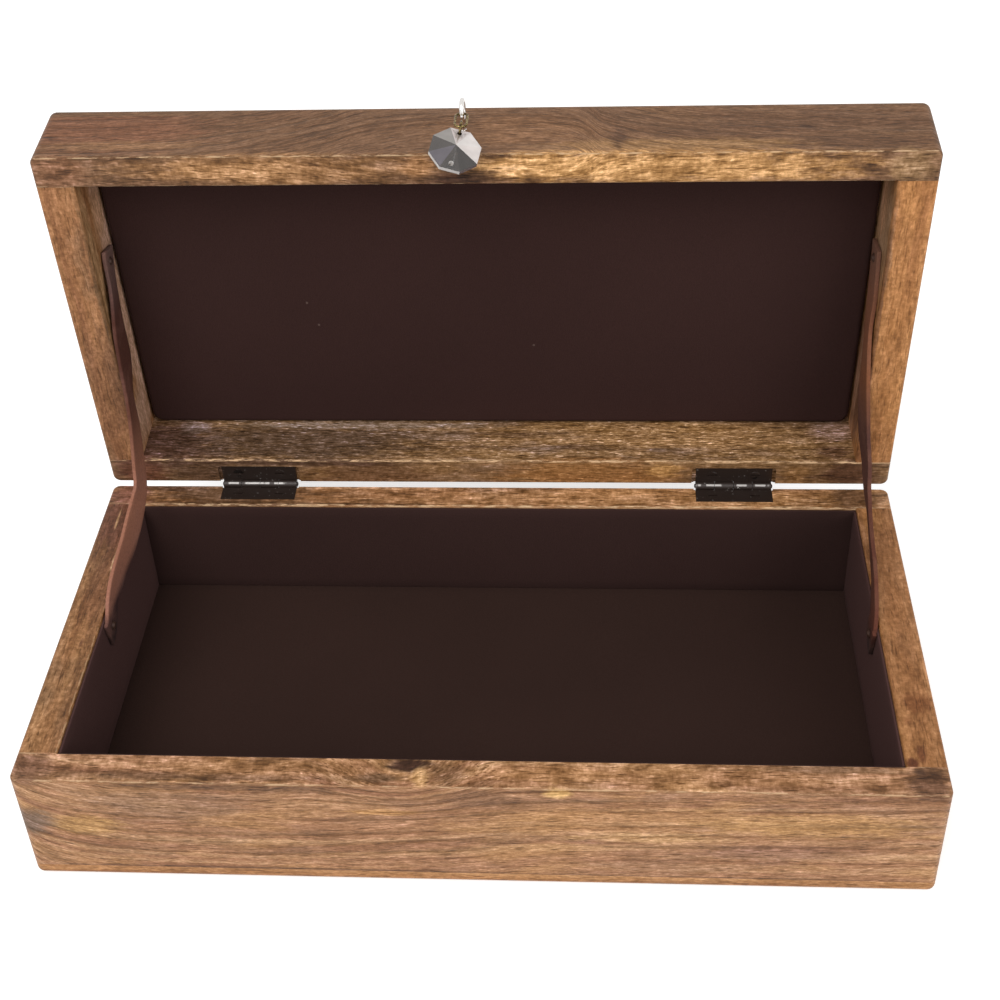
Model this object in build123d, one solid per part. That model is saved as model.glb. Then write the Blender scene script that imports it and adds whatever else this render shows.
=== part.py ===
from build123d import *
import os
from math import asin, cos, degrees, hypot, radians, sin

# Wooden trinket box, standing open: a lined tray, a lined lid on two butt hinges, two leather
# lid straps, and a crystal drop on a screw eye that serves as the lid's pull.
# Millimetres. X runs along the hinge line, +Y to the back and +Z up. The origin is the centre
# of the tray's underside. The lid's pieces are worked out on the closed box and then opened.

# Case
case_width = 260.0
case_depth = 130.0
tray_height = 41.3
lid_height = 26.3
bottom_board_thickness = 4.5
top_board_thickness = 4.3
long_rail_thickness = 10.2
side_rail_thickness = 11.4
corner_radius = 2.4
board_edge_radius = 2.2
rim_radius = 0.8
inner_rim_radius = 0.6
closed_gap = 0.7
lid_open_angle = 85.0

# Linings
felt_thickness = 0.8
felt_below_rim = 0.7
lid_pad_thickness = 4.0
lid_pad_margin = 0.6
lid_pad_corner_radius = 4.0

# Butt hinges
hinge_length = 25.0
hinge_inset = 50.5
leaf_thickness = 1.0
leaf_depth = 7.2
leaf_clearance = 0.1
knuckle_count = 4
knuckle_radius = 1.5
knuckle_gap = 0.15
knuckle_groove_clearance = 0.2
hinge_stand_off = 0.5
knuckle_to_leaf = 0.2
pin_radius = 0.7
pin_running_clearance = 0.05
pin_end = 0.4
mortise_scar = 1.3

# Hinge screws
screw_spacing = 14.0
screw_from_leaf_front = 3.1
screw_head_radius = 1.7
screw_shank_radius = 0.8
screw_length = 7.0
screw_slot_width = 0.5
screw_slot_depth = 0.45

# Nails that hold the corners and the boards
nail_radius = 0.7
nail_fit = 0.02
corner_nail_length = 20.0
corner_nail_sink = 1.0
tray_corner_nail_heights = (10.0, 26.0)
lid_corner_nail_heights = (6.0, 16.0)
board_nail_length = 16.0
board_nail_head_radius = 1.2
board_nail_head_thickness = 0.6
lid_nail_sink = 0.8
long_rail_nails = 4
side_rail_nails = 2
nail_end_distance = 22.0

# Leather straps
strap_width = 10.0
strap_thickness = 1.2
strap_end = 4.0
strap_bend_radius = 11.0
strap_to_felt = 0.25
strap_to_lid_wall = 0.2
tack_head_radius = 1.5
tack_head_height = 0.7
tack_radius = 0.6
tack_length = 8.0
tack_clearance = 0.05
lid_tack_back = -20.0
lid_tack_depth = 11.0
tray_tack_depth = 4.5
tray_tack_back = 1.5
strap_bends = ((27.0, 43.5), (48.5, 45.5), (59.0, 68.0))

# Screw eye
eye_right = -4.75
eye_above_rim = 13.2
eye_stand_off = 6.2
eye_radius = 2.9
eye_wire_radius = 0.75
eye_thread_radius = 0.9
eye_thread_length = 8.0
eye_fit = 0.02

# Oval link and jump ring
wire_radius = 0.35
wire_clearance = 0.05
link_end_radius = 1.7
link_straight = 4.2
ring_radius = 2.3
ring_turn = 12.0
pull_swing_out = 2.5

# Crystal drop
crystal_across_flats = 14.0
crystal_thickness = 5.8
crystal_girdle = 1.2
crystal_sides = 8
crystal_hole_radius = 0.7
crystal_hole_from_edge = 1.7
crystal_turn = 6.0
crystal_tilt = 22.5

# Worked-out places
half_width = case_width / 2
half_depth = case_depth / 2
cavity_half_width = half_width - side_rail_thickness
cavity_half_depth = half_depth - long_rail_thickness
lid_rim = tray_height + closed_gap
lid_top = lid_rim + lid_height
lid_board_underside = lid_top - top_board_thickness
hinge_back = half_depth + hinge_stand_off
hinge_height = tray_height + closed_gap / 2
hinge_centres = {"left": hinge_inset - half_width, "right": half_width - hinge_inset}
hinge_line = Axis((0, hinge_back, hinge_height), (1, 0, 0))
leaf_front = half_depth - leaf_depth
knuckle_length = hinge_length / knuckle_count
strap_to_tray_wall = felt_thickness + strap_to_felt
eye_centre = Vector(eye_right, -half_depth - eye_stand_off, lid_rim + eye_above_rim)

sides = ("left", "right")
pieces = {}


def slab(x, y, z):
    """A box from its low and high limits along X, Y and Z."""
    centre = Pos((x[0] + x[1]) / 2, (y[0] + y[1]) / 2, (z[0] + z[1]) / 2)
    return centre * Box(x[1] - x[0], y[1] - y[0], z[1] - z[0])


def rod(start, direction, length, radius):
    """A round bar from a point along a direction."""
    return Plane(origin=start, z_dir=direction) * Cylinder(
        radius, length, align=(Align.CENTER, Align.CENTER, Align.MIN)
    )


def opened(shape):
    """A lid piece turned from the closed box to the open rest pose."""
    return shape.rotate(hinge_line, -lid_open_angle)


def open_point(back, height):
    """Where a point of the closed lid stands once the lid is open, as (back, height)."""
    turn = radians(lid_open_angle)
    dy, dz = back - hinge_back, height - hinge_height
    return (
        hinge_back + dy * cos(turn) + dz * sin(turn),
        hinge_height - dy * sin(turn) + dz * cos(turn),
    )


def edges_at(shape, height):
    """The edges that lie flat at one height."""
    return shape.edges().filter_by_position(Axis.Z, height - 0.001, height + 0.001)


def rounded_block(low, high, rounded_height, edge_radius):
    """The case's outline between two heights, with one horizontal rim rounded over."""
    block = slab((-half_width, half_width), (-half_depth, half_depth), (low, high))
    block = fillet(block.edges().filter_by(Axis.Z), corner_radius)
    return fillet(edges_at(block, rounded_height), edge_radius)


def case_walls(low, high, rim):
    """The four walls as one ring, rounded along the rim."""
    ring = rounded_block(low, high, rim, rim_radius) - slab(
        (-cavity_half_width, cavity_half_width),
        (-cavity_half_depth, cavity_half_depth),
        (low, high),
    )
    inner_rim = edges_at(ring, rim).filter_by(
        lambda edge: abs(edge.center().X) <= cavity_half_width + 0.01
        and abs(edge.center().Y) <= cavity_half_depth + 0.01
    )
    return fillet(inner_rim, inner_rim_radius)


def rails_from(ring, low, high):
    """The ring cut at its corners: long rails run full width, side rails butt between them."""
    full = (-half_width, half_width)
    middle = (-cavity_half_depth, cavity_half_depth)
    heights = (low, high)
    return {
        "front": ring & slab(full, (-half_depth, -cavity_half_depth), heights),
        "back": ring & slab(full, (cavity_half_depth, half_depth), heights),
        "left": ring & slab((-half_width, -cavity_half_width), middle, heights),
        "right": ring & slab((cavity_half_width, half_width), middle, heights),
    }


def corner_nails(heights, grow):
    """Two nails at each corner, driven through the long rails into the side rails."""
    across = half_width - side_rail_thickness / 2
    start = half_depth - corner_nail_sink
    return [
        rod((x, side * start, height), (0, -side, 0), corner_nail_length, nail_radius + grow)
        for x in (-across, across)
        for side in (-1, 1)
        for height in heights
    ]


def board_nail_places():
    """Where the nails through a board enter the rails, as (x, y)."""
    long_y = half_depth - long_rail_thickness / 2
    side_x = half_width - side_rail_thickness / 2
    long_reach = half_width - nail_end_distance
    side_reach = cavity_half_depth - nail_end_distance
    long_step = 2 * long_reach / (long_rail_nails - 1)
    side_step = 2 * side_reach / (side_rail_nails - 1)
    places = [
        (-long_reach + n * long_step, side * long_y)
        for side in (-1, 1)
        for n in range(long_rail_nails)
    ]
    places += [
        (side * side_x, -side_reach + n * side_step)
        for side in (-1, 1)
        for n in range(side_rail_nails)
    ]
    return places


def tray_board_nails(grow):
    """Nails up through the bottom board, their heads flush with the underside."""
    nails = []
    for x, y in board_nail_places():
        shank = rod((x, y, 0), (0, 0, 1), board_nail_length, nail_radius + grow)
        head = rod((x, y, 0), (0, 0, 1), board_nail_head_thickness, board_nail_head_radius + grow)
        nails.append(shank + head)
    return nails


def lid_board_nails(grow):
    """Nails down through the top board, sunk below its face and filled over."""
    return [
        rod((x, y, lid_top - lid_nail_sink), (0, 0, -1), board_nail_length, nail_radius + grow)
        for x, y in board_nail_places()
    ]


def screw_places():
    """Where the hinge screws stand, as (x, y)."""
    back = leaf_front + screw_from_leaf_front
    return [
        (centre + side * screw_spacing / 2, back)
        for centre in hinge_centres.values()
        for side in (-1, 1)
    ]


def screw_body(x, y, face, inward, grow):
    """A countersunk screw without its slot, its head flush with a leaf's face."""
    plane = Plane(origin=(x, y, face), z_dir=(0, 0, inward))
    low = (Align.CENTER, Align.CENTER, Align.MIN)
    head = Cone(
        screw_head_radius + grow, screw_shank_radius + grow, leaf_thickness, align=low
    )
    shank = Cylinder(screw_shank_radius + grow, screw_length, align=low)
    return plane * (head + shank)


def hinge_screws(face, inward):
    """All screws on one side of the hinges, each with a slot across its head."""
    screws = []
    for x, y in screw_places():
        deep = face + inward * screw_slot_depth
        slot = slab(
            (x - screw_head_radius, x + screw_head_radius),
            (y - screw_slot_width / 2, y + screw_slot_width / 2),
            (min(face, deep), max(face, deep)),
        )
        screws.append(screw_body(x, y, face, inward, 0) - slot)
    return screws


def hinge_leaf(centre, face, inward, first_knuckle):
    """A leaf with every second knuckle, flush with a rim and rolled round the pin."""
    left = centre - hinge_length / 2
    back_face = face + inward * leaf_thickness
    heights = (min(face, back_face), max(face, back_face))
    leaf = slab((left, left + hinge_length), (leaf_front, hinge_back), heights)
    for n in range(knuckle_count):
        start = (left + n * knuckle_length, hinge_back, hinge_height)
        if n % 2 == first_knuckle:
            start = (start[0] + knuckle_gap / 2, hinge_back, hinge_height)
            leaf += rod(start, (1, 0, 0), knuckle_length - knuckle_gap, knuckle_radius)
        else:
            start = (start[0] - knuckle_gap / 2, hinge_back, hinge_height)
            leaf -= rod(
                start, (1, 0, 0), knuckle_length + knuckle_gap, knuckle_radius + knuckle_to_leaf
            )
    bore = pin_radius + pin_running_clearance
    leaf -= rod((left - 1, hinge_back, hinge_height), (1, 0, 0), hinge_length + 2, bore)
    for x, y in screw_places():
        if abs(x - centre) < hinge_length / 2:
            leaf -= screw_body(x, y, face, inward, nail_fit)
    return leaf


def hinge_pin(centre):
    """A hinge pin, a little longer than the knuckles, with domed ends."""
    half = hinge_length / 2 + pin_end
    pin = rod((centre - half, hinge_back, hinge_height), (1, 0, 0), 2 * half, pin_radius)
    return fillet(pin.edges().filter_by(GeomType.CIRCLE), pin_radius * 0.5)


def knuckle_groove(centre):
    """The groove along the case's back edges that clears a hinge's knuckles and pin."""
    reach = hinge_length / 2 + pin_end + knuckle_groove_clearance
    radius = knuckle_radius + knuckle_groove_clearance
    return rod((centre - reach, hinge_back, hinge_height), (1, 0, 0), 2 * reach, radius)


def tray_mortise(centre):
    """The pocket that takes a leaf in the tray's back rail."""
    reach = hinge_length / 2 + leaf_clearance
    return slab(
        (centre - reach, centre + reach),
        (leaf_front - leaf_clearance, half_depth + 1),
        (tray_height - leaf_thickness, tray_height + 1),
    )


def lid_mortise(centre):
    """The pocket in the lid's back rail, cut longer than the leaf, with rounded ends."""
    reach = hinge_length / 2 + mortise_scar
    pocket = slab(
        (centre - reach, centre + reach),
        (leaf_front - leaf_clearance, half_depth + 1),
        (lid_rim - 1, lid_rim + leaf_thickness),
    )
    ends = pocket.edges().filter_by(Axis.Z).group_by(Axis.Y)[0]
    return fillet(ends, mortise_scar)


def strap_tacks():
    """The tray tack and the lid tack of a strap, as (back, height) pairs."""
    return (
        (tray_tack_back, tray_height - tray_tack_depth),
        open_point(lid_tack_back, lid_rim + lid_tack_depth),
    )


def beyond(inner, tack):
    """The strap's end, a little past its tack."""
    dy, dz = tack[0] - inner[0], tack[1] - inner[1]
    run = hypot(dy, dz)
    return (tack[0] + dy / run * strap_end, tack[1] + dz / run * strap_end)


def strap_line():
    """The middle of a strap in the YZ plane, from its tray end to its lid end."""
    tray, lid = strap_tacks()
    points = [beyond(strap_bends[0], tray), *strap_bends, beyond(strap_bends[-1], lid)]
    return Plane.YZ * FilletPolyline(*points, radius=strap_bend_radius)


def strap(side):
    """A flat leather ribbon from the tray's wall to the lid's wall, with a hole at each tack."""
    sign = -1 if side == "left" else 1
    tray, lid = strap_tacks()
    line = strap_line()
    outer = cavity_half_width - strap_to_tray_wall
    section = Plane(origin=line @ 0, x_dir=(1, 0, 0), z_dir=line % 0) * Rectangle(
        strap_thickness, strap_width
    )
    ribbon = Pos(sign * (outer - strap_thickness / 2), 0, 0) * sweep(section, path=line)
    chord = Vector(0, lid[0] - tray[0], lid[1] - tray[1])
    lean = degrees(asin((strap_to_tray_wall - strap_to_lid_wall) / chord.length))
    pivot = Axis((sign * outer, *tray), Vector(1, 0, 0).cross(chord))
    ribbon = ribbon.rotate(pivot, -sign * lean)
    for back, height in (tray, lid):
        start = (sign * (outer - 3 * strap_thickness), back, height)
        ribbon -= rod(start, (sign, 0, 0), 5 * strap_thickness, tack_radius + tack_clearance)
    return ribbon


def tack_shank(side, which, grow):
    """A tack's shank from the strap into the wall; which is 0 at the tray and 1 at the lid."""
    sign = -1 if side == "left" else 1
    back, height = strap_tacks()[which]
    gap = (strap_to_tray_wall, strap_to_lid_wall)[which]
    seat = cavity_half_width - gap - strap_thickness - tack_clearance
    start = (sign * seat, back, height)
    return start, rod(start, (sign, 0, 0), tack_length + grow, tack_radius + grow)


def tack(side, which):
    """A tack with its domed head on the strap's inner face."""
    sign = -1 if side == "left" else 1
    start, shank = tack_shank(side, which, 0)
    head = Plane(origin=start, z_dir=(-sign, 0, 0)) * Cone(
        tack_head_radius,
        tack_head_radius * 0.55,
        tack_head_height,
        align=(Align.CENTER, Align.CENTER, Align.MIN),
    )
    return shank + head


def tack_hole(side, which):
    """The hole that a tack's shank makes in the wall and in the felt behind the strap."""
    return tack_shank(side, which, nail_fit)[1]


def screw_eye():
    """An eye in the plane across the lid's front, with its neck and its thread in the rail."""
    loop = Pos(eye_centre) * (Rot(0, 90, 0) * Torus(eye_radius, eye_wire_radius))
    neck = rod(eye_centre + Vector(0, eye_radius, 0), (0, 1, 0),
               eye_stand_off - eye_radius, eye_wire_radius)
    thread = rod((eye_right, -half_depth, eye_centre.Z), (0, 1, 0),
                 eye_thread_length, eye_thread_radius)
    return loop + neck + thread


def eye_hole():
    """The hole for the eye's thread in the lid's front rail."""
    return rod((eye_right, -half_depth - 1, eye_centre.Z), (0, 1, 0),
               eye_thread_length + 1 + eye_fit, eye_thread_radius + eye_fit)


# The pull is built hanging straight down below the eye's centre, which is its origin, and is
# then swung out and opened with the lid.
link_top = eye_radius + link_end_radius - eye_wire_radius - wire_radius - wire_clearance
link_bottom = link_top + link_straight
ring_drop = link_bottom + link_end_radius + ring_radius - 2 * wire_radius - wire_clearance


def hung(shape):
    """A piece of the pull moved from its hanging place to the closed lid."""
    return Pos(eye_centre) * (Rot(-pull_swing_out, 0, 0) * shape)


def pull_link():
    """An oval wire link through the eye."""
    middle = Pos(0, 0, -(link_top + link_bottom) / 2)
    outline = SlotCenterToCenter(link_straight, 2 * link_end_radius, rotation=90).wire()
    line = Plane.XZ * outline
    start = line @ 0
    return middle * sweep(
        Plane(origin=start, z_dir=line % 0) * Circle(wire_radius), path=line
    )


def pull_ring():
    """A round jump ring through the link."""
    ring = Rot(0, 90, 0) * Torus(ring_radius, wire_radius)
    return Pos(0, 0, -ring_drop) * (Rot(0, 0, ring_turn) * ring)


def crystal_drop():
    """A flat octagonal bead, eight facets to a point on each face, with two holes."""
    flat = crystal_across_flats / 2
    half_girdle = crystal_girdle / 2
    octagon = RegularPolygon(flat, crystal_sides, major_radius=False,
                             rotation=180 / crystal_sides + 90)
    bead = extrude(octagon, half_girdle, both=True)
    for side in (-1, 1):
        base = Pos(0, 0, side * half_girdle) * octagon
        bead += loft([base.face(), Vertex(0, 0, side * crystal_thickness / 2)], ruled=True)
    hole_at = flat - crystal_hole_from_edge
    for up in (-hole_at, hole_at):
        bead -= Pos(0, up, 0) * Cylinder(crystal_hole_radius, crystal_thickness)
    upright = Rot(90, 0, 0) * (Pos(0, -hole_at, 0) * bead)
    turned = Rot(0, crystal_turn, 0) * upright
    below_ring = Pos(0, 0, -ring_radius) * turned
    tilted = Rot(crystal_tilt, 0, 0) * below_ring
    return Pos(0, 0, -ring_drop) * (Rot(0, 0, ring_turn) * tilted)


# Tray
bottom_board = rounded_block(0, bottom_board_thickness, 0, board_edge_radius)
for nail in tray_board_nails(nail_fit):
    bottom_board -= nail
pieces["tray_bottom_board"] = bottom_board

tray_ring = case_walls(bottom_board_thickness, tray_height, tray_height)
tray_rails = rails_from(tray_ring, bottom_board_thickness, tray_height)
tray_nail_heights = [bottom_board_thickness + h for h in tray_corner_nail_heights]
tray_cuts = corner_nails(tray_nail_heights, nail_fit) + tray_board_nails(nail_fit)
tray_cuts += [tack_hole(side, 0) for side in sides]
for centre in hinge_centres.values():
    tray_cuts += [tray_mortise(centre), knuckle_groove(centre)]
for x, y in screw_places():
    tray_cuts.append(screw_body(x, y, tray_height, -1, nail_fit))
for name, rail in tray_rails.items():
    pieces[f"tray_{name}_rail"] = rail - tray_cuts

felt_floor = bottom_board_thickness + felt_thickness
felt_top = tray_height - felt_below_rim
inner_half_depth = cavity_half_depth - felt_thickness
pieces["tray_floor_lining"] = slab(
    (-cavity_half_width, cavity_half_width),
    (-cavity_half_depth, cavity_half_depth),
    (bottom_board_thickness, felt_floor),
)
for name, sign in (("front", -1), ("back", 1)):
    near, far = sign * inner_half_depth, sign * cavity_half_depth
    pieces[f"tray_{name}_lining"] = slab(
        (-cavity_half_width, cavity_half_width), (min(near, far), max(near, far)),
        (felt_floor, felt_top),
    )
for side, sign in (("left", -1), ("right", 1)):
    near, far = sign * (cavity_half_width - felt_thickness), sign * cavity_half_width
    felt = slab(
        (min(near, far), max(near, far)), (-inner_half_depth, inner_half_depth),
        (felt_floor, felt_top),
    )
    pieces[f"tray_{side}_lining"] = felt - tack_hole(side, 0)

pieces["tray_corner_nails"] = Compound(children=corner_nails(tray_nail_heights, 0))
pieces["tray_board_nails"] = Compound(children=tray_board_nails(0))

# Lid
top_board = rounded_block(lid_board_underside, lid_top, lid_top, board_edge_radius)
for nail in lid_board_nails(nail_fit):
    top_board -= nail
pieces["lid_top_board"] = opened(top_board)

lid_ring = case_walls(lid_rim, lid_board_underside, lid_rim)
lid_rails = rails_from(lid_ring, lid_rim, lid_board_underside)
lid_nail_heights = [lid_rim + h for h in lid_corner_nail_heights]
lid_cuts = corner_nails(lid_nail_heights, nail_fit) + lid_board_nails(nail_fit) + [eye_hole()]
for centre in hinge_centres.values():
    lid_cuts += [lid_mortise(centre), knuckle_groove(centre)]
for x, y in screw_places():
    lid_cuts.append(screw_body(x, y, lid_rim, 1, nail_fit))
for name, rail in lid_rails.items():
    rail = opened(rail - lid_cuts)
    if name in sides:
        rail -= tack_hole(name, 1)
    pieces[f"lid_{name}_rail"] = rail

pad = slab(
    (-cavity_half_width + lid_pad_margin, cavity_half_width - lid_pad_margin),
    (-cavity_half_depth + lid_pad_margin, cavity_half_depth - lid_pad_margin),
    (lid_board_underside - lid_pad_thickness, lid_board_underside),
)
pieces["lid_lining_pad"] = opened(
    fillet(pad.edges().filter_by(Axis.Z), lid_pad_corner_radius)
)
pieces["lid_corner_nails"] = opened(Compound(children=corner_nails(lid_nail_heights, 0)))
pieces["lid_board_nails"] = opened(Compound(children=lid_board_nails(0)))

# Hinges
for side, centre in hinge_centres.items():
    pieces[f"{side}_hinge_tray_leaf"] = hinge_leaf(centre, tray_height, -1, 1)
    pieces[f"{side}_hinge_lid_leaf"] = opened(hinge_leaf(centre, lid_rim, 1, 0))
    pieces[f"{side}_hinge_pin"] = hinge_pin(centre)
pieces["tray_hinge_screws"] = Compound(children=hinge_screws(tray_height, -1))
pieces["lid_hinge_screws"] = opened(Compound(children=hinge_screws(lid_rim, 1)))

# Straps
for side in sides:
    pieces[f"{side}_strap"] = strap(side)
pieces["tray_strap_tacks"] = Compound(children=[tack(side, 0) for side in sides])
pieces["lid_strap_tacks"] = Compound(children=[tack(side, 1) for side in sides])

# Pull
pieces["screw_eye"] = opened(screw_eye())
pieces["pull_link"] = opened(hung(pull_link()))
pieces["pull_ring"] = opened(hung(pull_ring()))
pieces["pull_crystal"] = opened(hung(crystal_drop()))

os.makedirs("parts", exist_ok=True)
for name, shape in pieces.items():
    export_step(shape, f"parts/{name}.step")


def report_axis(name, point, direction):
    """Print a joint's place and direction in the open rest pose, in metres."""
    y, z = open_point(point.Y, point.Z)
    turned = direction.rotate(Axis.X, -lid_open_angle)
    print(f"{name}: pos {point.X / 1000:.6f} {y / 1000:.6f} {z / 1000:.6f}, "
          f"axis {turned.X:.6f} {turned.Y:.6f} {turned.Z:.6f}")


def on_closed_lid(point, direction):
    """A point and a direction of the hanging pull, carried to the closed lid."""
    place = eye_centre + point.rotate(Axis.X, -pull_swing_out)
    return place, direction.rotate(Axis.X, -pull_swing_out)


print(f"lid_hinge: pos 0 {hinge_back / 1000:.6f} {hinge_height / 1000:.6f}, axis -1 0 0")
report_axis("link_swing", eye_centre, Vector(-1, 0, 0))
report_axis("ring_swing", *on_closed_lid(Vector(0, 0, -link_bottom), Vector(0, 1, 0)))
report_axis(
    "crystal_swing",
    *on_closed_lid(Vector(0, 0, -ring_drop), Vector(-1, 0, 0).rotate(Axis.Z, ring_turn)),
)
print(f"strap between its tacks: {strap_line().length - 2 * strap_end:.1f} mm")
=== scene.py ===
"""A wooden trinket box standing open: worn mango wood, felt, leather straps and a crystal pull."""
import logging
import math
from collections.abc import Iterable, Sequence
from dataclasses import dataclass, field, replace
from enum import Enum

import bpy
from mathutils import Matrix, Vector, noise


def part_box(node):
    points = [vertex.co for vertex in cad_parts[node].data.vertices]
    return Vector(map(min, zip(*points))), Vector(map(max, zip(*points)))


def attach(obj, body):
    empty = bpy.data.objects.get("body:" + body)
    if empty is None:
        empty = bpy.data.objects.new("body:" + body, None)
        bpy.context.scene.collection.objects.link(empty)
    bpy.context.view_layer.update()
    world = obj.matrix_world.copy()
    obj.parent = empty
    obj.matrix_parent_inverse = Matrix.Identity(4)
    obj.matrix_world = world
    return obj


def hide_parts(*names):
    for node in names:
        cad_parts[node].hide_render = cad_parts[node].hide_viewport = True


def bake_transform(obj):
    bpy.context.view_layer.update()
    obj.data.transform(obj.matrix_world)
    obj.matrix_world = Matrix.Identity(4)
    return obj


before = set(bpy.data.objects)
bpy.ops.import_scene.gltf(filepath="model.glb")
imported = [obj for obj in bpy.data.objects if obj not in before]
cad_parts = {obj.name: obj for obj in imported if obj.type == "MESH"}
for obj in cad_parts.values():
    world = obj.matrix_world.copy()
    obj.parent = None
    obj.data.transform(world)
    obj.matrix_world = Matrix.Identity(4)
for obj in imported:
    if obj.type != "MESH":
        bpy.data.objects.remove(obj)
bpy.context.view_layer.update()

log = logging.getLogger("trinket box")
MM = 0.001

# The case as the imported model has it, closed, in millimetres
HALF_WIDTH = 130.0
HALF_DEPTH = 65.0
INNER_HALF_WIDTH = 118.6
INNER_HALF_DEPTH = 54.8
BOARD_TOP = 4.5
TRAY_HEIGHT = 41.3
LID_RIM = 42.0
LID_BOARD = 64.0
HINGE = Vector((0.0, 65.5, 41.65))
LID_ANGLE = math.radians(85.0)
# Bits of lint on the felt of the open lid, in metres
LINT = ((-0.0588, 0.0784, 0.1062), (-0.0559, 0.0791, 0.0972), (0.0137, 0.0799, 0.0887))

# Short names for long types
Pair = tuple[float, float]
Triple = tuple[float, float, float]
Tree = bpy.types.NodeTree
Node = bpy.types.Node
Socket = bpy.types.NodeSocket

# Node kinds
MATH = "ShaderNodeMath"
VECTOR = "ShaderNodeVectorMath"
NOISE = "ShaderNodeTexNoise"
MIX = "ShaderNodeMix"
RAMP = "ShaderNodeValToRGB"
RANGE = "ShaderNodeMapRange"
COMBINE = "ShaderNodeCombineXYZ"
SEPARATE = "ShaderNodeSeparateXYZ"
MAPPING = "ShaderNodeMapping"
COORDS = "ShaderNodeTexCoord"
CURVE = "ShaderNodeFloatCurve"
BUMP = "ShaderNodeBump"
PRINCIPLED = "ShaderNodeBsdfPrincipled"
OUTPUT = "ShaderNodeOutputMaterial"


class Grain(Enum):
    """The direction in which a board's fibres run on the closed box."""

    ALONG_X = "x"
    ALONG_Y = "y"


class Place(Enum):
    """The half of the box that a piece belongs to."""

    TRAY = "tray"
    LID = "lid"


def linear(code: str) -> tuple[float, float, float, float]:
    """Turns an sRGB hex colour to the linear values that Blender's sockets take.

    Args:
        code: six hex digits.

    Returns:
        Red, green, blue and an alpha of 1.
    """
    values = [int(code[n:n + 2], 16) / 255 for n in (0, 2, 4)]
    red, green, blue = (v / 12.92 if v <= 0.04045 else ((v + 0.055) / 1.055) ** 2.4 for v in values)
    return red, green, blue, 1.0


def add(tree: Tree, kind: str, inputs: dict | None = None, **settings) -> Node:
    """Adds a node with its settings, values and links.

    Args:
        tree: the material's node tree.
        kind: the node's type.
        inputs: a value, a node or a node's output for each socket.
        **settings: the node's own properties.

    Returns:
        The new node.
    """
    node = tree.nodes.new(kind)
    for name, value in settings.items():
        setattr(node, name, value)
    for key, value in (inputs or {}).items():
        if isinstance(value, Node):
            value = value.outputs[0]
        if isinstance(value, Socket):
            tree.links.new(value, node.inputs[key])
        else:
            node.inputs[key].default_value = value
    return node


def new_material(name: str) -> tuple[bpy.types.Material, Tree]:
    """Makes an empty node material.

    Args:
        name: the material's name.

    Returns:
        The material and its node tree.
    """
    material = bpy.data.materials.new(name)
    material.use_nodes = True
    material.node_tree.nodes.clear()
    return material, material.node_tree


def nearness(tree: Tree, point: Node, centre: Triple, size: Triple) -> Socket:
    """Measures how far a point is from an ellipsoid's middle, where 1 is its skin.

    Args:
        tree: the material's node tree.
        point: the node that gives the point.
        centre: the ellipsoid's middle.
        size: its three radii.

    Returns:
        The socket of the measure.
    """
    return add(tree, VECTOR, {0: add(tree, MAPPING, {
        "Vector": point, "Scale": tuple(1 / s for s in size),
        "Location": tuple(-c / s for c, s in zip(centre, size)),
    })}, operation="LENGTH").outputs[1]


def off_line(tree: Tree, point: Node | Socket, grain: Grain, side: float, height: float) -> Socket:
    """Measures how far a point is from a line along X or Y.

    Args:
        tree: the material's node tree.
        point: what gives the point.
        grain: the line's direction.
        side: the line's place across that direction.
        height: the line's height.

    Returns:
        The socket of the measure.
    """
    mask, middle = (0.0, 1.0, 1.0), (0.0, side, height)
    if grain is Grain.ALONG_Y:
        mask, middle = (1.0, 0.0, 1.0), (side, 0.0, height)
    plane = add(tree, VECTOR, {0: point, 1: mask}, operation="MULTIPLY")
    return add(tree, VECTOR, {0: plane, 1: middle}, operation="DISTANCE").outputs[1]


def apart(tree: Tree, one: Socket, other: float) -> Node:
    """Measures how far a value is from another.

    Args:
        tree: the material's node tree.
        one: the socket of the value.
        other: the other value.

    Returns:
        The node of the measure.
    """
    gap = add(tree, MATH, {0: one, 1: other}, operation="SUBTRACT")
    return add(tree, MATH, {0: gap}, operation="ABSOLUTE")


def strongest(tree: Tree, values: Sequence[Node]) -> Node:
    """Takes the greatest of some values.

    Args:
        tree: the material's node tree.
        values: the nodes that give them.

    Returns:
        The node of the greatest.
    """
    best = values[0]
    for value in values[1:]:
        best = add(tree, MATH, {0: best, 1: value}, operation="MAXIMUM")
    return best


def dress(piece: bpy.types.Object, *materials: bpy.types.Material) -> None:
    """Gives a piece its materials.

    Args:
        piece: a CAD node or a new piece.
        *materials: one finish for all of it, or one for each material index.
    """
    piece.data.materials.clear()
    for material in materials:
        piece.data.materials.append(material)


def closing(place: Place) -> Matrix:
    """Gives the turn about the hinge that closes a half of the box."""
    return Matrix.Rotation(LID_ANGLE, 3, "X") if place is Place.LID else Matrix.Identity(3)


def open_point(x: float, y: float, z: float) -> Vector:
    """Carries a point of the closed lid, in millimetres, to the open lid, in metres."""
    return (closing(Place.LID).transposed() @ (Vector((x, y, z)) - HINGE) + HINGE) * MM


def pick(piece: bpy.types.Object) -> None:
    """Selects one piece alone.

    Args:
        piece: the piece.
    """
    bpy.ops.object.select_all(action="DESELECT")
    piece.select_set(True)
    bpy.context.view_layer.objects.active = piece


def apply_modifiers(piece: bpy.types.Object) -> None:
    """Applies a piece's modifiers in order.

    Args:
        piece: the piece.
    """
    pick(piece)
    for modifier in list(piece.modifiers):
        bpy.ops.object.modifier_apply(modifier=modifier.name)


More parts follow.
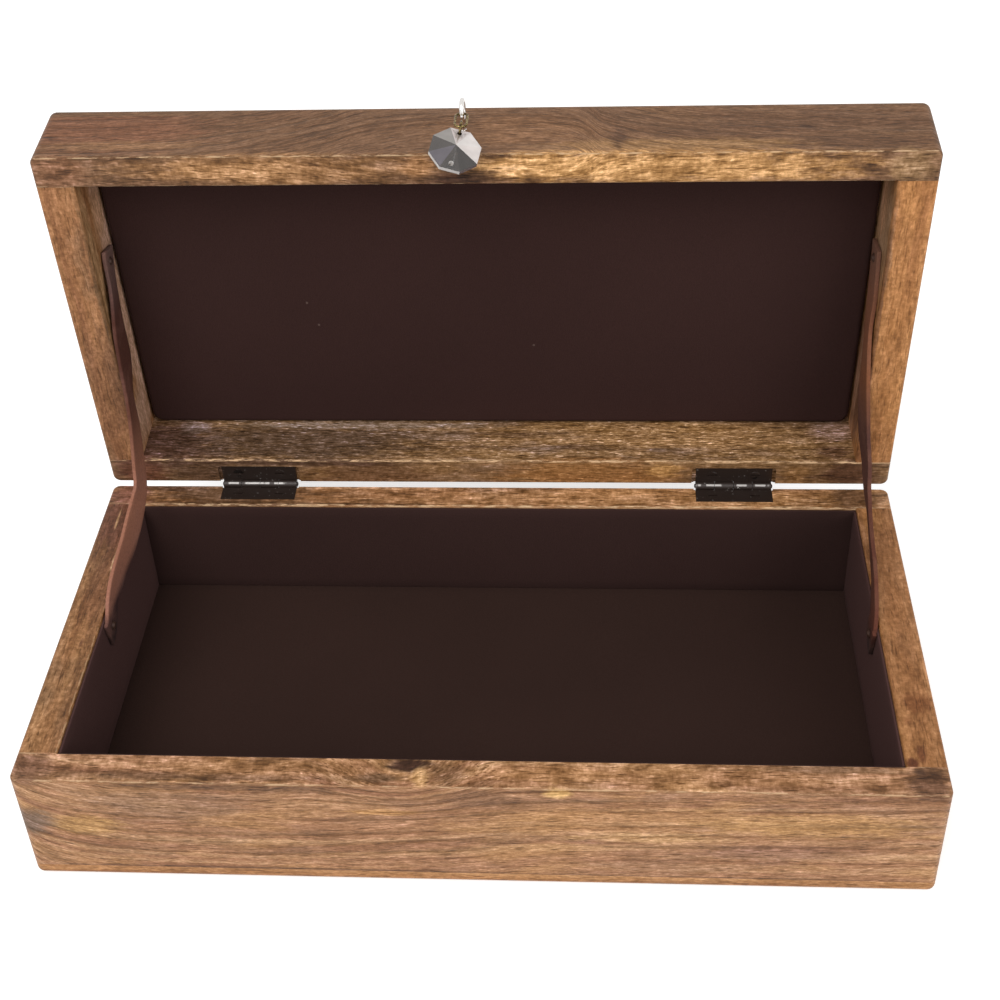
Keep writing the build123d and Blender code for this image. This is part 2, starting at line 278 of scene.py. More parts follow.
def smooth(piece: bpy.types.Object, angle: float = 35.0) -> None:
    """Puts a piece's place in its mesh, and shades it smooth up to an angle.

    Args:
        piece: the piece.
        angle: the sharpest edge that still looks round, in degrees.
    """
    pick(piece)
    bpy.ops.object.transform_apply(location=True, rotation=True, scale=True)
    bpy.ops.object.shade_smooth_by_angle(angle=math.radians(angle))
    bpy.ops.object.select_all(action="DESELECT")


def merged_copy(node: str, name: str) -> bpy.types.Object:
    """Copies a CAD node's mesh, and welds its loose triangles into one skin.

    Args:
        node: the CAD node.
        name: the new piece's name.

    Returns:
        The new piece, which stands for the node.
    """
    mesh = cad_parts[node].data.copy()
    piece = bpy.data.objects.new(name, mesh)
    bpy.context.scene.collection.objects.link(piece)
    pick(piece)
    bpy.ops.object.mode_set(mode="EDIT")
    bpy.ops.mesh.select_all(action="SELECT")
    bpy.ops.mesh.remove_doubles(threshold=1e-6)
    bpy.ops.mesh.dissolve_limited(angle_limit=math.radians(0.5))
    bpy.ops.object.mode_set(mode="OBJECT")
    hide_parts(node)
    return piece


# Patterns in the wood: how long they are along the fibres, across the growth and sideways, in
# millimetres, and then how fine and how rough
Pattern = tuple[Triple, float, float]
BANDS: Pattern = ((170.0, 3.2, 60.0), 3.0, 0.62)
PATCHES: Pattern = ((40.0, 9.0, 30.0), 2.5, 0.6)
SHADES: Pattern = ((26.0, 6.0, 30.0), 3.0, 0.6)
RAGS: Pattern = ((7.0, 1.6, 3.0), 3.0, 0.65)
PORES: Pattern = ((5.0, 0.45, 0.6), 1.0, 0.6)
FLECKS: Pattern = ((2.2, 0.45, 0.6), 1.0, 0.6)
STREAKS: Pattern = ((15.0, 1.5, 6.0), 3.0, 0.62)
FIGURE: Pattern = ((7.5, 3.2, 6.0), 2.0, 0.6)
# The next four lie along the fibres, across the board and up, whatever the growth does
WANDER: Pattern = ((70.0, 26.0, 26.0), 2.0, 0.6)
RIPPLE: Pattern = ((13.0, 5.0, 5.0), 1.0, 0.6)
SAW_TICKS: Pattern = ((0.8, 3.0, 9.0), 1.0, 0.6)
DASHES: Pattern = ((5.0, 0.7, 0.7), 3.0, 0.7)


@dataclass(frozen=True)
class Stain:
    """A coloured place in the wood, in millimetres on the closed box: a knot, a pale or a grey patch."""

    centre: Triple
    size: Triple
    colour: str
    strength: float = 0.8


@dataclass(frozen=True)
class Swirl:
    """A knot that the growth lines bend around."""

    centre: Triple
    size: Triple
    push: float


@dataclass(frozen=True)
class Spot:
    """Where a point of a board lies on the closed box, in millimetres."""

    point: Node
    along: Socket
    across: Socket
    height: Socket
    # Lines of one growth value are one year's wood
    growth: Socket

    @property
    def fibres(self) -> tuple[Socket, ...]:
        """The place along the fibres, across the growth, and across the board."""
        return self.along, self.growth, self.across

    @property
    def face(self) -> tuple[Socket, ...]:
        """The place along the fibres, across the growth, and up."""
        return self.along, self.growth, self.height

    @property
    def box(self) -> tuple[Socket, ...]:
        """The place along the fibres, across the board, and up."""
        return self.along, self.across, self.height


@dataclass(frozen=True)
class MangoWood:
    """Mango wood, plain sawn, unevenly stained and waxed.

    The eye sees tan and golden bands along the fibres, short dark pores and pale flecks, a few long
    dark growth lines, and arrises rubbed pale in dashes, partly worn and partly painted highlights.
    """

    name: str
    place: Place = Place.TRAY
    grain: Grain = Grain.ALONG_X
    dark: str = "855C42"
    middle: str = "A57A59"
    light: str = "BE9670"
    gold: str = "BC9160"
    gold_share: float = 0.5
    grey: str = "86705C"
    grey_share: float = 0.4
    # What the wax leaves of the wood's red, green and blue, with painted shade on some boards, most of all
    # the lid's front and top
    wax_and_shade: Triple = (1.0, 1.0, 1.0)
    # Each board takes another part of the patterns
    seed: float = 0.0
    # How far the growth lines rise along the board, as places along it and heights
    run: tuple[Pair, ...] = ((-130.0, 0.0), (130.0, 0.0))
    # The heights of a run lie within half this span, and the rim keeps only a part of it
    run_span: float = 60.0
    rim_span: float = 16.0
    tilt: float = 0.6
    wander: float = 3.0
    ripple: float = 0.9
    # Heights of the dark growth lines, on the front of a long rail
    lines: tuple[float, ...] = ()
    line_width: float = 0.35
    line_strength: float = 0.45
    # Fibres and speckles, along the fibres, across the growth and sideways
    fibre_mm: Triple = (4.5, 0.50, 1.4)
    fibre_contrast: float = 0.60
    speckle_mm: Triple = (1.5, 0.9, 0.9)
    speckle: float = 0.20
    pore_strength: float = 0.45
    fleck_strength: float = 0.30
    streak_strength: float = 0.18
    # Soft patches, on the faces and on the sawn rim
    figure: float = 0.09
    rim_figure: float = 0.26
    contrast: float = 1.15
    rim_contrast: float = 1.5
    # How strongly shade acts on red, green and blue: dark wood is the warmer, and pale wood the greyer
    warmth: Triple = (1.0, 1.17, 1.55)
    # The height of the rim that shows the saw's ticks
    saw_height: float | None = None
    saw_strength: float = 0.06
    # Arrises rubbed pale and painted with highlights, as the two places across the board and up that their
    # lines run through
    edges: tuple[Pair, ...] = ()
    edge_colour: str = "D9B68E"
    edge_width: float = 0.24
    edge_strength: float = 0.6
    roughness: float = 0.50
    bump: float = 0.55
    stains: tuple[Stain, ...] = ()
    swirls: tuple[Swirl, ...] = ()

    def grain_noise(self, tree: Tree, axes: Sequence[Socket], lengths: Sequence[float],
                    detail: float, roughness: float) -> Socket:
        """Noise drawn out along the fibres.

        Args:
            tree: the material's node tree.
            axes: the place, one socket for each length.
            lengths: the pattern's three lengths, in millimetres.
            detail: how fine it is.
            roughness: how rough it is.

        Returns:
            The noise's value.
        """
        place = add(tree, COMBINE, {
            n: add(tree, MATH, {0: axis, 1: 1 / length, 2: self.seed * (3.1 + n)},
                   operation="MULTIPLY_ADD")
            for n, (axis, length) in enumerate(zip(axes, lengths))
        })
        return add(tree, NOISE, {"Vector": place, "Scale": 1.0, "Detail": detail,
                                 "Roughness": roughness}).outputs[0]

    def on_rim(self, tree: Tree, height: Socket, rim: float, elsewhere: float,
               reach: float = 0.30) -> float | Node:
        """Gives the sawn rim a value of its own.

        Args:
            tree: the material's node tree.
            height: the socket of the height.
            rim: the value on the rim.
            elsewhere: the value away from it.
            reach: how far from the rim the other value begins.

        Returns:
            The node of the value, or the other value where the board has no such rim.
        """
        if self.saw_height is None:
            return elsewhere
        away = apart(tree, height, self.saw_height)
        return add(tree, RANGE, {0: away, 1: 0.15, 2: reach, 3: rim, 4: elsewhere})

    def growth(self, tree: Tree, point: Node, box: Sequence[Socket]) -> Socket:
        """Bends the growth lines: their run along the board, their wander, and the knots they pass.

        Args:
            tree: the material's node tree.
            point: the node that gives the place.
            box: the sockets of the place along the fibres, across the board, and up.

        Returns:
            The growth coordinate in millimetres.
        """
        along, across, height = box
        rise = add(tree, CURVE, {"Value": add(tree, RANGE, {0: along, 1: -HALF_WIDTH, 2: HALF_WIDTH})})
        spots = [((place + HALF_WIDTH) / (2 * HALF_WIDTH), (lift + self.run_span / 2) / self.run_span)
                 for place, lift in self.run]
        points = rise.mapping.curves[0].points
        points[0].location, points[1].location = spots[0], spots[-1]
        for spot in spots[1:-1]:
            points.new(*spot)
        rise.mapping.update()
        # The rim shows the boards' edge, where the lines run straighter
        bend = self.on_rim(tree, height, -self.rim_span, -self.run_span, 0.45)
        lines = add(tree, MATH, {0: across, 1: self.tilt, 2: height}, operation="MULTIPLY_ADD")
        lines = add(tree, MATH, {0: rise, 1: bend, 2: lines}, operation="MULTIPLY_ADD")
        lines = add(tree, MATH, {0: lines, 1: self.run_span / 2 + self.tilt * HALF_DEPTH})
        for pattern, reach in ((WANDER, self.wander), (RIPPLE, self.ripple)):
            drift = self.grain_noise(tree, box, *pattern)
            drift = add(tree, MATH, {0: drift, 1: 0.5}, operation="SUBTRACT")
            lines = add(tree, MATH, {0: drift, 1: reach, 2: lines}, operation="MULTIPLY_ADD")
        for swirl in self.swirls:
            near = nearness(tree, point, swirl.centre, swirl.size)
            push = add(tree, RANGE, {0: near, 1: 0.0, 2: 1.0, 3: swirl.push, 4: 0.0},
                       interpolation_type="SMOOTHSTEP")
            lines = add(tree, MATH, {0: lines, 1: push})
        return lines.outputs[0]

    def spot(self, tree: Tree) -> Spot:
        """Carries a point of the open box to the closed box.

        Args:
            tree: the material's node tree.

        Returns:
            The point's place there.
        """
        turn = closing(self.place)
        point = add(tree, MAPPING, {
            "Vector": add(tree, COORDS).outputs["Object"], "Scale": (1 / MM,) * 3,
            "Rotation": turn.to_euler(), "Location": HINGE - turn @ HINGE,
        })
        x, y, z = add(tree, SEPARATE, {0: point}).outputs
        along, across = (x, y) if self.grain is Grain.ALONG_X else (y, x)
        return Spot(point, along, across, z, self.growth(tree, point, (along, across, z)))

    def banded(self, tree: Tree, spot: Spot, band: Socket, patch: Socket) -> Socket:
        """Colours the growth bands, and broad patches of golden and of grey wood.

        Args:
            tree: the material's node tree.
            spot: the point's place.
            band: the noise of the bands.
            patch: the noise of the golden patches.

        Returns:
            The colour.
        """
        ramp = add(tree, RAMP, {0: band})
        stops = ramp.color_ramp.elements
        stops[0].position, stops[0].color = 0.30, linear(self.dark)
        stops[1].position, stops[1].color = 0.70, linear(self.light)
        stops.new(0.49).color = linear(self.middle)
        colour = ramp.outputs[0]
        shade = self.grain_noise(tree, spot.face, *SHADES)
        for where, tint, most in ((patch, self.gold, self.gold_share),
                                  (shade, self.grey, self.grey_share)):
            share = add(tree, RANGE, {0: where, 1: 0.50, 2: 0.66, 3: 0.0, 4: most})
            colour = add(tree, MIX, {0: share, 6: colour, 7: linear(tint)},
                         data_type="RGBA").outputs[2]
        return colour

    def stained(self, tree: Tree, spot: Spot, colour: Socket) -> Socket:
        """Lays the stains on, with ragged edges, because they follow the fibres.

        Args:
            tree: the material's node tree.
            spot: the point's place.
            colour: the wood's colour.

        Returns:
            The stained colour.
        """
        rag = self.grain_noise(tree, spot.fibres, *RAGS)
        for stain in self.stains:
            near = nearness(tree, spot.point, stain.centre, stain.size)
            ragged = add(tree, MATH, {0: rag, 1: 1.3, 2: near}, operation="MULTIPLY_ADD")
            share = add(tree, RANGE, {0: ragged, 1: 1.05, 2: 1.75, 3: stain.strength, 4: 0.0},
                        interpolation_type="SMOOTHSTEP")
            colour = add(tree, MIX, {0: share, 6: colour, 7: linear(stain.colour)},
                         data_type="RGBA").outputs[2]
        return colour

    def mottled(self, tree: Tree, spot: Spot, fibre: Socket, pore: Node) -> Node:
        """Shades the fibres, speckles, pores, flecks, streaks, the saw's ticks and the figure.

        Args:
            tree: the material's node tree.
            spot: the point's place.
            fibre: the noise of the fibres.
            pore: the pores' own shade.

        Returns:
            The shade, where 1 changes nothing.
        """
        speckle = self.grain_noise(tree, spot.face, self.speckle_mm, 2.0, 0.7)
        tone, speckle = (
            add(tree, RANGE, {0: value, 1: 0.30, 2: 0.70, 3: 1 - share, 4: 1 + share}, clamp=False)
            for value, share in ((fibre, self.fibre_contrast / 2), (speckle, self.speckle)))
        fleck = self.grain_noise(tree, spot.face, *FLECKS)
        fleck = add(tree, RANGE, {0: fleck, 1: 0.60, 2: 0.72, 3: 1.0, 4: 1 + self.fleck_strength})
        streak = self.grain_noise(tree, spot.fibres, *STREAKS)
        dark = add(tree, RANGE, {0: streak, 1: 0.54, 2: 0.66, 3: 1.0, 4: 1 - self.streak_strength})
        pale = 1 + self.streak_strength * 0.6
        pale = add(tree, RANGE, {0: streak, 1: 0.34, 2: 0.46, 3: pale, 4: 1.0})
        parts = [speckle, pore, fleck, dark, pale]
        if self.saw_height is not None:
            tick = self.grain_noise(tree, spot.box, *SAW_TICKS)
            tick = add(tree, RANGE, {0: tick, 1: 0.30, 2: 0.70, 3: -1.0, 4: 1.0}, clamp=False)
            share = self.on_rim(tree, spot.height, self.saw_strength, 0.0)
            parts.append(add(tree, MATH, {0: tick, 1: share, 2: 1.0}, operation="MULTIPLY_ADD"))
        figure = self.grain_noise(tree, spot.fibres, *FIGURE)
        figure = add(tree, RANGE, {0: figure, 1: 0.35, 2: 0.65, 3: -1.0, 4: 1.0}, clamp=False)
        share = self.on_rim(tree, spot.height, self.rim_figure, self.figure)
        parts.append(add(tree, MATH, {0: figure, 1: share, 2: 1.0}, operation="MULTIPLY_ADD"))
        for part in parts:
            tone = add(tree, MATH, {0: tone, 1: part}, operation="MULTIPLY")
        power = self.on_rim(tree, spot.height, self.rim_contrast, self.contrast)
        return add(tree, MATH, {0: tone, 1: power}, operation="POWER")

    def lined(self, tree: Tree, spot: Spot, patch: Socket) -> float | Node:
        """Draws the dark growth lines, which fade in and out.

        Args:
            tree: the material's node tree.
            spot: the point's place.
            patch: the noise in which they fade.

        Returns:
            What they leave of the light, which is all of it where the board has none.
        """
        if not self.lines:
            return 1.0
        line = strongest(tree, [
            add(tree, RANGE, {0: apart(tree, spot.growth, height), 1: self.line_width * 0.2,
                              2: self.line_width * 1.3, 3: self.line_strength, 4: 0.0})
            for height in self.lines])
        fade = add(tree, RANGE, {0: patch, 1: 0.44, 2: 0.60, 3: 1.0, 4: 0.10})
        line = add(tree, MATH, {0: line, 1: fade}, operation="MULTIPLY")
        return add(tree, MATH, {0: 1.0, 1: line}, operation="SUBTRACT")

    def rubbed_and_highlit(self, tree: Tree, spot: Spot, colour: Socket) -> Socket:
        """Rubs the arrises pale in dashes, partly wear and partly painted highlights.

        Args:
            tree: the material's node tree.
            spot: the point's place.
            colour: the wood's colour.

        Returns:
            The rubbed colour.
        """
        if not self.edges:
            return colour
        # Pale dashes along the arrises: partly wear, partly painted highlights
        wear = strongest(tree, [
            add(tree, RANGE, {
                0: off_line(tree, spot.point, self.grain, side, height),
                1: self.edge_width * 0.5, 2: self.edge_width * 1.5, 3: 1.0, 4: 0.0})
            for side, height in self.edges])
        dash = self.grain_noise(tree, spot.box, *DASHES)
        dash = add(tree, RANGE, {0: dash, 1: 0.47, 2: 0.57, 3: 0.0, 4: self.edge_strength})
        wear = add(tree, MATH, {0: wear, 1: dash}, operation="MULTIPLY")
        return add(tree, MIX, {0: wear, 6: colour, 7: linear(self.edge_colour)},
                   data_type="RGBA").outputs[2]

    def build(self) -> bpy.types.Material:
        """Makes the wood's material.

        Returns:
            The material.
        """
        material, tree = new_material(self.name)
        spot = self.spot(tree)
        band = self.grain_noise(tree, spot.fibres, *BANDS)
        patch = self.grain_noise(tree, spot.fibres, *PATCHES)
        fibre = self.grain_noise(tree, spot.fibres, self.fibre_mm, 3.0, 0.65)
        pore = self.grain_noise(tree, spot.fibres, *PORES)
        pore = add(tree, RANGE, {0: pore, 1: 0.58, 2: 0.70, 3: 1.0, 4: 1 - self.pore_strength})
        line = self.lined(tree, spot, patch)
        tone = self.mottled(tree, spot, fibre, pore)
        tone = add(tree, MATH, {0: tone, 1: line}, operation="MULTIPLY")
        tones = add(tree, COMBINE, {
            n: add(tree, MATH, {0: tone, 1: power}, operation="POWER")
            for n, power in enumerate(self.warmth)
        })
        colour = self.stained(tree, spot, self.banded(tree, spot, band, patch))
        colour = add(tree, VECTOR, {0: colour, 1: tones}, operation="MULTIPLY")
        colour = add(tree, VECTOR, {0: colour, 1: self.wax_and_shade}, operation="MULTIPLY").outputs[0]
        height = add(tree, MATH, {0: fibre, 1: 0.7, 2: pore}, operation="MULTIPLY_ADD")
        height = add(tree, MATH, {0: height, 1: line}, operation="MULTIPLY")
        rough = add(tree, RANGE, {0: band, 1: 0.3, 2: 0.7, 3: self.roughness + 0.10,
                                  4: self.roughness - 0.06})
        shader = add(tree, PRINCIPLED, {
            "Base Color": self.rubbed_and_highlit(tree, spot, colour), "Roughness": rough,
            "Specular IOR Level": 0.25,
            "Normal": add(tree, BUMP, {"Height": height, "Strength": self.bump, "Distance": 0.00025}),
        })
        add(tree, OUTPUT, {"Surface": shader})
        return material


@dataclass(frozen=True)
class Felt:
    """Needle felt, glued down: near-black maroon and quite matt, with a faint pile and a little lint."""

    name: str = "needle felt"
    colour: str = "37221F"
    lint_colour: str = "75625A"
    # 0.5 mm is coarser than real felt fibres, so that the pile shows at this size
    fibre_mm: float = 0.5
    clouds_per_metre: float = 14.0
    lint: tuple[Triple, ...] = ()

    def build(self) -> bpy.types.Material:
        """Makes the felt's material.

        Returns:
            The material.
        """
        material, tree = new_material(self.name)
        place = add(tree, COORDS).outputs["Object"]
        pile = add(tree, NOISE, {"Vector": place, "Scale": 1 / (self.fibre_mm * MM),
                                 "Detail": 3.0, "Roughness": 0.7})
        cloud = add(tree, NOISE, {"Vector": place, "Scale": self.clouds_per_metre, "Detail": 3.0})
        tone = add(tree, MATH, {
            0: add(tree, RANGE, {0: pile, 1: 0.3, 2: 0.7, 3: 0.88, 4: 1.12}),
            1: add(tree, RANGE, {0: cloud, 1: 0.35, 2: 0.65, 3: 0.94, 4: 1.06}),
        }, operation="MULTIPLY")
        colour = add(tree, VECTOR, {0: linear(self.colour)[:3], 3: tone}, operation="SCALE").outputs[0]
        for speck in self.lint:
            away = add(tree, VECTOR, {0: place, 1: speck}, operation="DISTANCE")
            ragged = add(tree, MATH, {0: pile, 1: 0.0008, 2: away.outputs[1]}, operation="MULTIPLY_ADD")
            share = add(tree, RANGE, {0: ragged, 1: 0.0006, 2: 0.0009, 3: 0.6, 4: 0.0})
            colour = add(tree, MIX, {0: share, 6: colour, 7: linear(self.lint_colour)},
                         data_type="RGBA").outputs[2]
        shader = add(tree, PRINCIPLED, {
            "Base Color": colour, "Roughness": 0.95, "Specular IOR Level": 0.12,
            "Sheen Weight": 0.05, "Sheen Roughness": 0.6, "Sheen Tint": linear("6A4A44"),
            "Normal": add(tree, BUMP, {"Height": pile, "Strength": 0.35, "Distance": 0.0003}),
        })
        add(tree, OUTPUT, {"Surface": shader})
        return material


@dataclass(frozen=True)
class Suede:
    """Split leather, flesh side out: a short nap, rubbed paler in patches, with painted light and shade by
    height.
    """

    name: str
    # The colour at each height over the floor, in millimetres: painted light and shade, dark where the
    # strap goes into the shaded tray, pale over the rim and darker along the lid
    tones: tuple[tuple[float, str], ...]
    worn: str = "94695C"
    # 0.8 mm is coarser than the real nap, so that it shows at this size
    nap_mm: float = 0.8
    clouds_per_metre: float = 110.0

    def build(self) -> bpy.types.Material:
        """Makes the leather's material.

        Returns:
            The material.
        """
        material, tree = new_material(self.name)
        place = add(tree, COORDS).outputs["Object"]
        height = add(tree, SEPARATE, {0: place}).outputs[2]
        # Painted light and shade: the strap's colour goes by its height
        low, high = self.tones[0][0], self.tones[-1][0]
        ramp = add(tree, RAMP, {0: add(tree, RANGE, {0: height, 1: low * MM, 2: high * MM})})
        stops = ramp.color_ramp.elements
        for stop, (_, tone) in zip((stops[0], stops[1]), (self.tones[0], self.tones[-1])):
            stop.color = linear(tone)
        for level, tone in self.tones[1:-1]:
            stops.new((level - low) / (high - low)).color = linear(tone)
        nap = add(tree, NOISE, {"Vector": place, "Scale": 1 / (self.nap_mm * MM),
                                "Detail": 4.0, "Roughness": 0.65})
        cloud = add(tree, NOISE, {"Vector": place, "Scale": self.clouds_per_metre, "Detail": 3.0})
        share = add(tree, RANGE, {0: cloud, 1: 0.48, 2: 0.68, 3: 0.0, 4: 0.30})
        colour = add(tree, MIX, {0: share, 6: ramp, 7: linear(self.worn)}, data_type="RGBA").outputs[2]
        tone = add(tree, RANGE, {0: nap, 1: 0.3, 2: 0.7, 3: 0.80, 4: 1.16})
        colour = add(tree, VECTOR, {0: colour, 3: tone}, operation="SCALE").outputs[0]
        shader = add(tree, PRINCIPLED, {
            "Base Color": colour, "Roughness": 0.85, "Specular IOR Level": 0.25,
            "Normal": add(tree, BUMP, {"Height": nap, "Strength": 0.5, "Distance": 0.0003}),
        })
        add(tree, OUTPUT, {"Surface": shader})
        return material


@dataclass(frozen=True)
class Metal:
    """A plated, painted or bare metal with rubbed spots, and painted highlight lines along X."""

    name: str
    colour: str
    worn: str
    metallic: float = 1.0
    roughness: float = 0.3
    wear: float = 0.3
    spot_mm: float = 2.0
    bump: float = 0.15
    # Painted highlight lines along X, which look rubbed bright: back, height and half width
    rubbed_and_highlit: tuple[Triple, ...] = ()

    def build(self) -> bpy.types.Material:
        """Makes the metal's material.

        Returns:
            The material.
        """
        material, tree = new_material(self.name)
        place = add(tree, COORDS).outputs["Object"]
        spots = add(tree, NOISE, {"Vector": place, "Scale": 1 / (self.spot_mm * MM),
                                  "Detail": 4.0, "Roughness": 0.6})
        share = add(tree, RANGE, {0: spots, 1: 0.66 - self.wear * 0.3, 2: 0.74 - self.wear * 0.3})
        # Painted highlight lines, mixed in with the worn colour
        for back, height, half in self.rubbed_and_highlit:
            away = off_line(tree, place, Grain.ALONG_X, back * MM, height * MM)
            near = add(tree, RANGE, {0: away, 1: half * MM * 0.5, 2: half * MM, 3: 1.0, 4: 0.0})
            dash = add(tree, NOISE, {"Vector": add(tree, VECTOR, {0: place, 1: (330.0, 60.0, 60.0)},
                                                   operation="MULTIPLY"), "Scale": 1.0, "Detail": 2.0})
            dash = add(tree, RANGE, {0: dash, 1: 0.44, 2: 0.50})
            near = add(tree, MATH, {0: near, 1: dash}, operation="MULTIPLY")
            share = add(tree, MATH, {0: share, 1: near}, operation="MAXIMUM")
        colour = add(tree, MIX, {0: share, 6: linear(self.colour), 7: linear(self.worn)},
                     data_type="RGBA")
        rough = add(tree, RANGE, {0: spots, 1: 0.3, 2: 0.7, 3: self.roughness + 0.06,
                                  4: self.roughness - 0.06})
        shader = add(tree, PRINCIPLED, {
            "Base Color": colour.outputs[2], "Metallic": self.metallic, "Roughness": rough,
            "Normal": add(tree, BUMP, {"Height": spots, "Strength": self.bump, "Distance": 0.0001}),
        })
        add(tree, OUTPUT, {"Surface": shader})
        return material


@dataclass(frozen=True)
class CutGlass:
    """Lead crystal, cut and polished, with painted reflections: each facet is painted pale or dark, as a
    piece of the room.
    """

    name: str = "cut crystal with painted reflections"
    haze_mm: float = 2.5

    def build(self) -> bpy.types.Material:
        """Makes the glass's material.

        Returns:
            The material.
        """
        material, tree = new_material(self.name)
        place = add(tree, COORDS).outputs["Object"]
        painted_reflection = add(tree, "ShaderNodeAttribute", attribute_name="painted_reflection")
        haze = add(tree, NOISE, {"Vector": place, "Scale": 1 / (self.haze_mm * MM), "Detail": 2.0})
        # Painted reflections and highlights: each facet's tone picks a colour from near black to white
        ramp = add(tree, RAMP, {0: painted_reflection.outputs["Fac"]})
        stops = ramp.color_ramp.elements
        stops[0].color, stops[1].color = linear("2E2A27"), linear("FFFCF8")
        for level, tone in ((0.3, "57514D"), (0.45, "6E6870"), (0.65, "A8A29B"), (0.85, "E2D4CF")):
            stops.new(level).color = linear(tone)
        cloud = add(tree, RANGE, {0: haze, 1: 0.35, 2: 0.65, 3: 0.93, 4: 1.04})
        colour = add(tree, VECTOR, {0: ramp, 3: cloud}, operation="SCALE")
        shader = add(tree, PRINCIPLED, {
            "Base Color": colour,
            "Roughness": add(tree, RANGE, {0: haze, 1: 0.3, 2: 0.7, 3: 0.02, 4: 0.07}),
            "IOR": 1.6, "Transmission Weight": 0.35,
        })
        add(tree, OUTPUT, {"Surface": shader})
        return material


@dataclass
class Case:
    """The wooden case: its rails and boards, each with its own cut of wood."""

    woods: dict[str, MangoWood]

    def build(self) -> list[bpy.types.Object]:
        """Dresses each rail and board.

        Returns:
            The dressed pieces.
        """
        for node, wood in self.woods.items():
            dress(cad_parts[node], wood.build())
        return [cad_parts[node] for node in self.woods]


@dataclass(frozen=True)
class FeltCut:
    """One flat cut of felt: the middle of its glued face, its size, and its turn."""

    node: str
    middle: Triple
    size: Pair
    turn: Triple


@dataclass
class TrayLining:
    """The felt on the tray's floor and walls, five cuts glued side by side."""

    thickness: float = 0.8
    height: float = 35.3
    mesh_step: float = 4.0
    # The glue leaves the felt uneven, but not at its edges
    unevenness: float = 0.12
    even_edge: float = 8.0
    soft_edge: float = 0.28
    # The felt is coloured cut by cut against the shade it lies in, as painted light and shade: the walls
    # paler, the side walls most, and the floor darker
    floor_felt_painted_darker: Felt = Felt("needle felt of the floor, painted darker", "31211C")
    long_felt_painted_paler: Felt = Felt("needle felt of the long walls, painted paler", "362421")
    side_felt_painted_palest: Felt = Felt("needle felt of the side walls, painted palest", "4A3330")

    def cuts(self) -> list[FeltCut]:
        """Lists the five cuts.

        Returns:
            The cuts: floor, front, back, left and right.
        """
        quarter = math.pi / 2
        middle = BOARD_TOP + self.thickness + self.height / 2
        width, depth = 2 * INNER_HALF_WIDTH, 2 * (INNER_HALF_DEPTH - self.thickness)
        return [
            FeltCut("tray_floor_lining", (0, 0, BOARD_TOP), (width, 2 * INNER_HALF_DEPTH), (0, 0, 0)),
            FeltCut("tray_front_lining", (0, -INNER_HALF_DEPTH, middle), (width, self.height),
                    (-quarter, 0, 0)),
            FeltCut("tray_back_lining", (0, INNER_HALF_DEPTH, middle), (width, self.height),
                    (quarter, 0, 0)),
            FeltCut("tray_left_lining", (-INNER_HALF_WIDTH, 0, middle), (self.height, depth),
                    (0, quarter, 0)),
            FeltCut("tray_right_lining", (INNER_HALF_WIDTH, 0, middle), (self.height, depth),
                    (0, -quarter, 0)),
        ]

    def lay(self, cut: FeltCut) -> bpy.types.Object:
        """Models one cut, a little uneven where the glue holds it.

        Args:
            cut: the cut.

        Returns:
            The felt.
        """
        width, length = cut.size
        bpy.ops.object.select_all(action="DESELECT")
        across, along = (max(8, round(side / self.mesh_step)) for side in cut.size)
        bpy.ops.mesh.primitive_grid_add(x_subdivisions=across, y_subdivisions=along, size=1.0)
        felt = bpy.context.object
        felt.name = cut.node.replace("lining", "felt")
        felt.scale = (width * MM, length * MM, 1.0)
        smooth(felt, 60.0)
        for vertex in felt.data.vertices:
            near = min(width * MM / 2 - abs(vertex.co.x), length * MM / 2 - abs(vertex.co.y))
            lift = min(1.0, near / (self.even_edge * MM)) * self.unevenness * MM
            vertex.co.z = lift * (1 + noise.noise(vertex.co * 45 + Vector(cut.middle)))
        felt.rotation_euler = cut.turn
        felt.location = Vector(cut.middle) * MM
        solid = felt.modifiers.new("thickness", "SOLIDIFY")
        solid.thickness, solid.offset = self.thickness * MM, 1.0
        soft = felt.modifiers.new("soft edges", "BEVEL")
        soft.width, soft.segments, soft.limit_method = self.soft_edge * MM, 2, "ANGLE"
        apply_modifiers(felt)
        smooth(felt, 60.0)
        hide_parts(cut.node)
        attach(felt, "tray")
        return felt

    def build(self) -> list[bpy.types.Object]:
        """Lays and dresses the five cuts.

        Returns:
            The felts.
        """
        # Painted light and shade: each cut gets its own lighter or darker copy of the felt
        floor, long, side = (f.build() for f in (self.floor_felt_painted_darker, self.long_felt_painted_paler, self.side_felt_painted_palest))
        pieces = [self.lay(cut) for cut in self.cuts()]
        for piece, material in zip(pieces, (floor, long, long, side, side)):
            dress(piece, material)
        return pieces


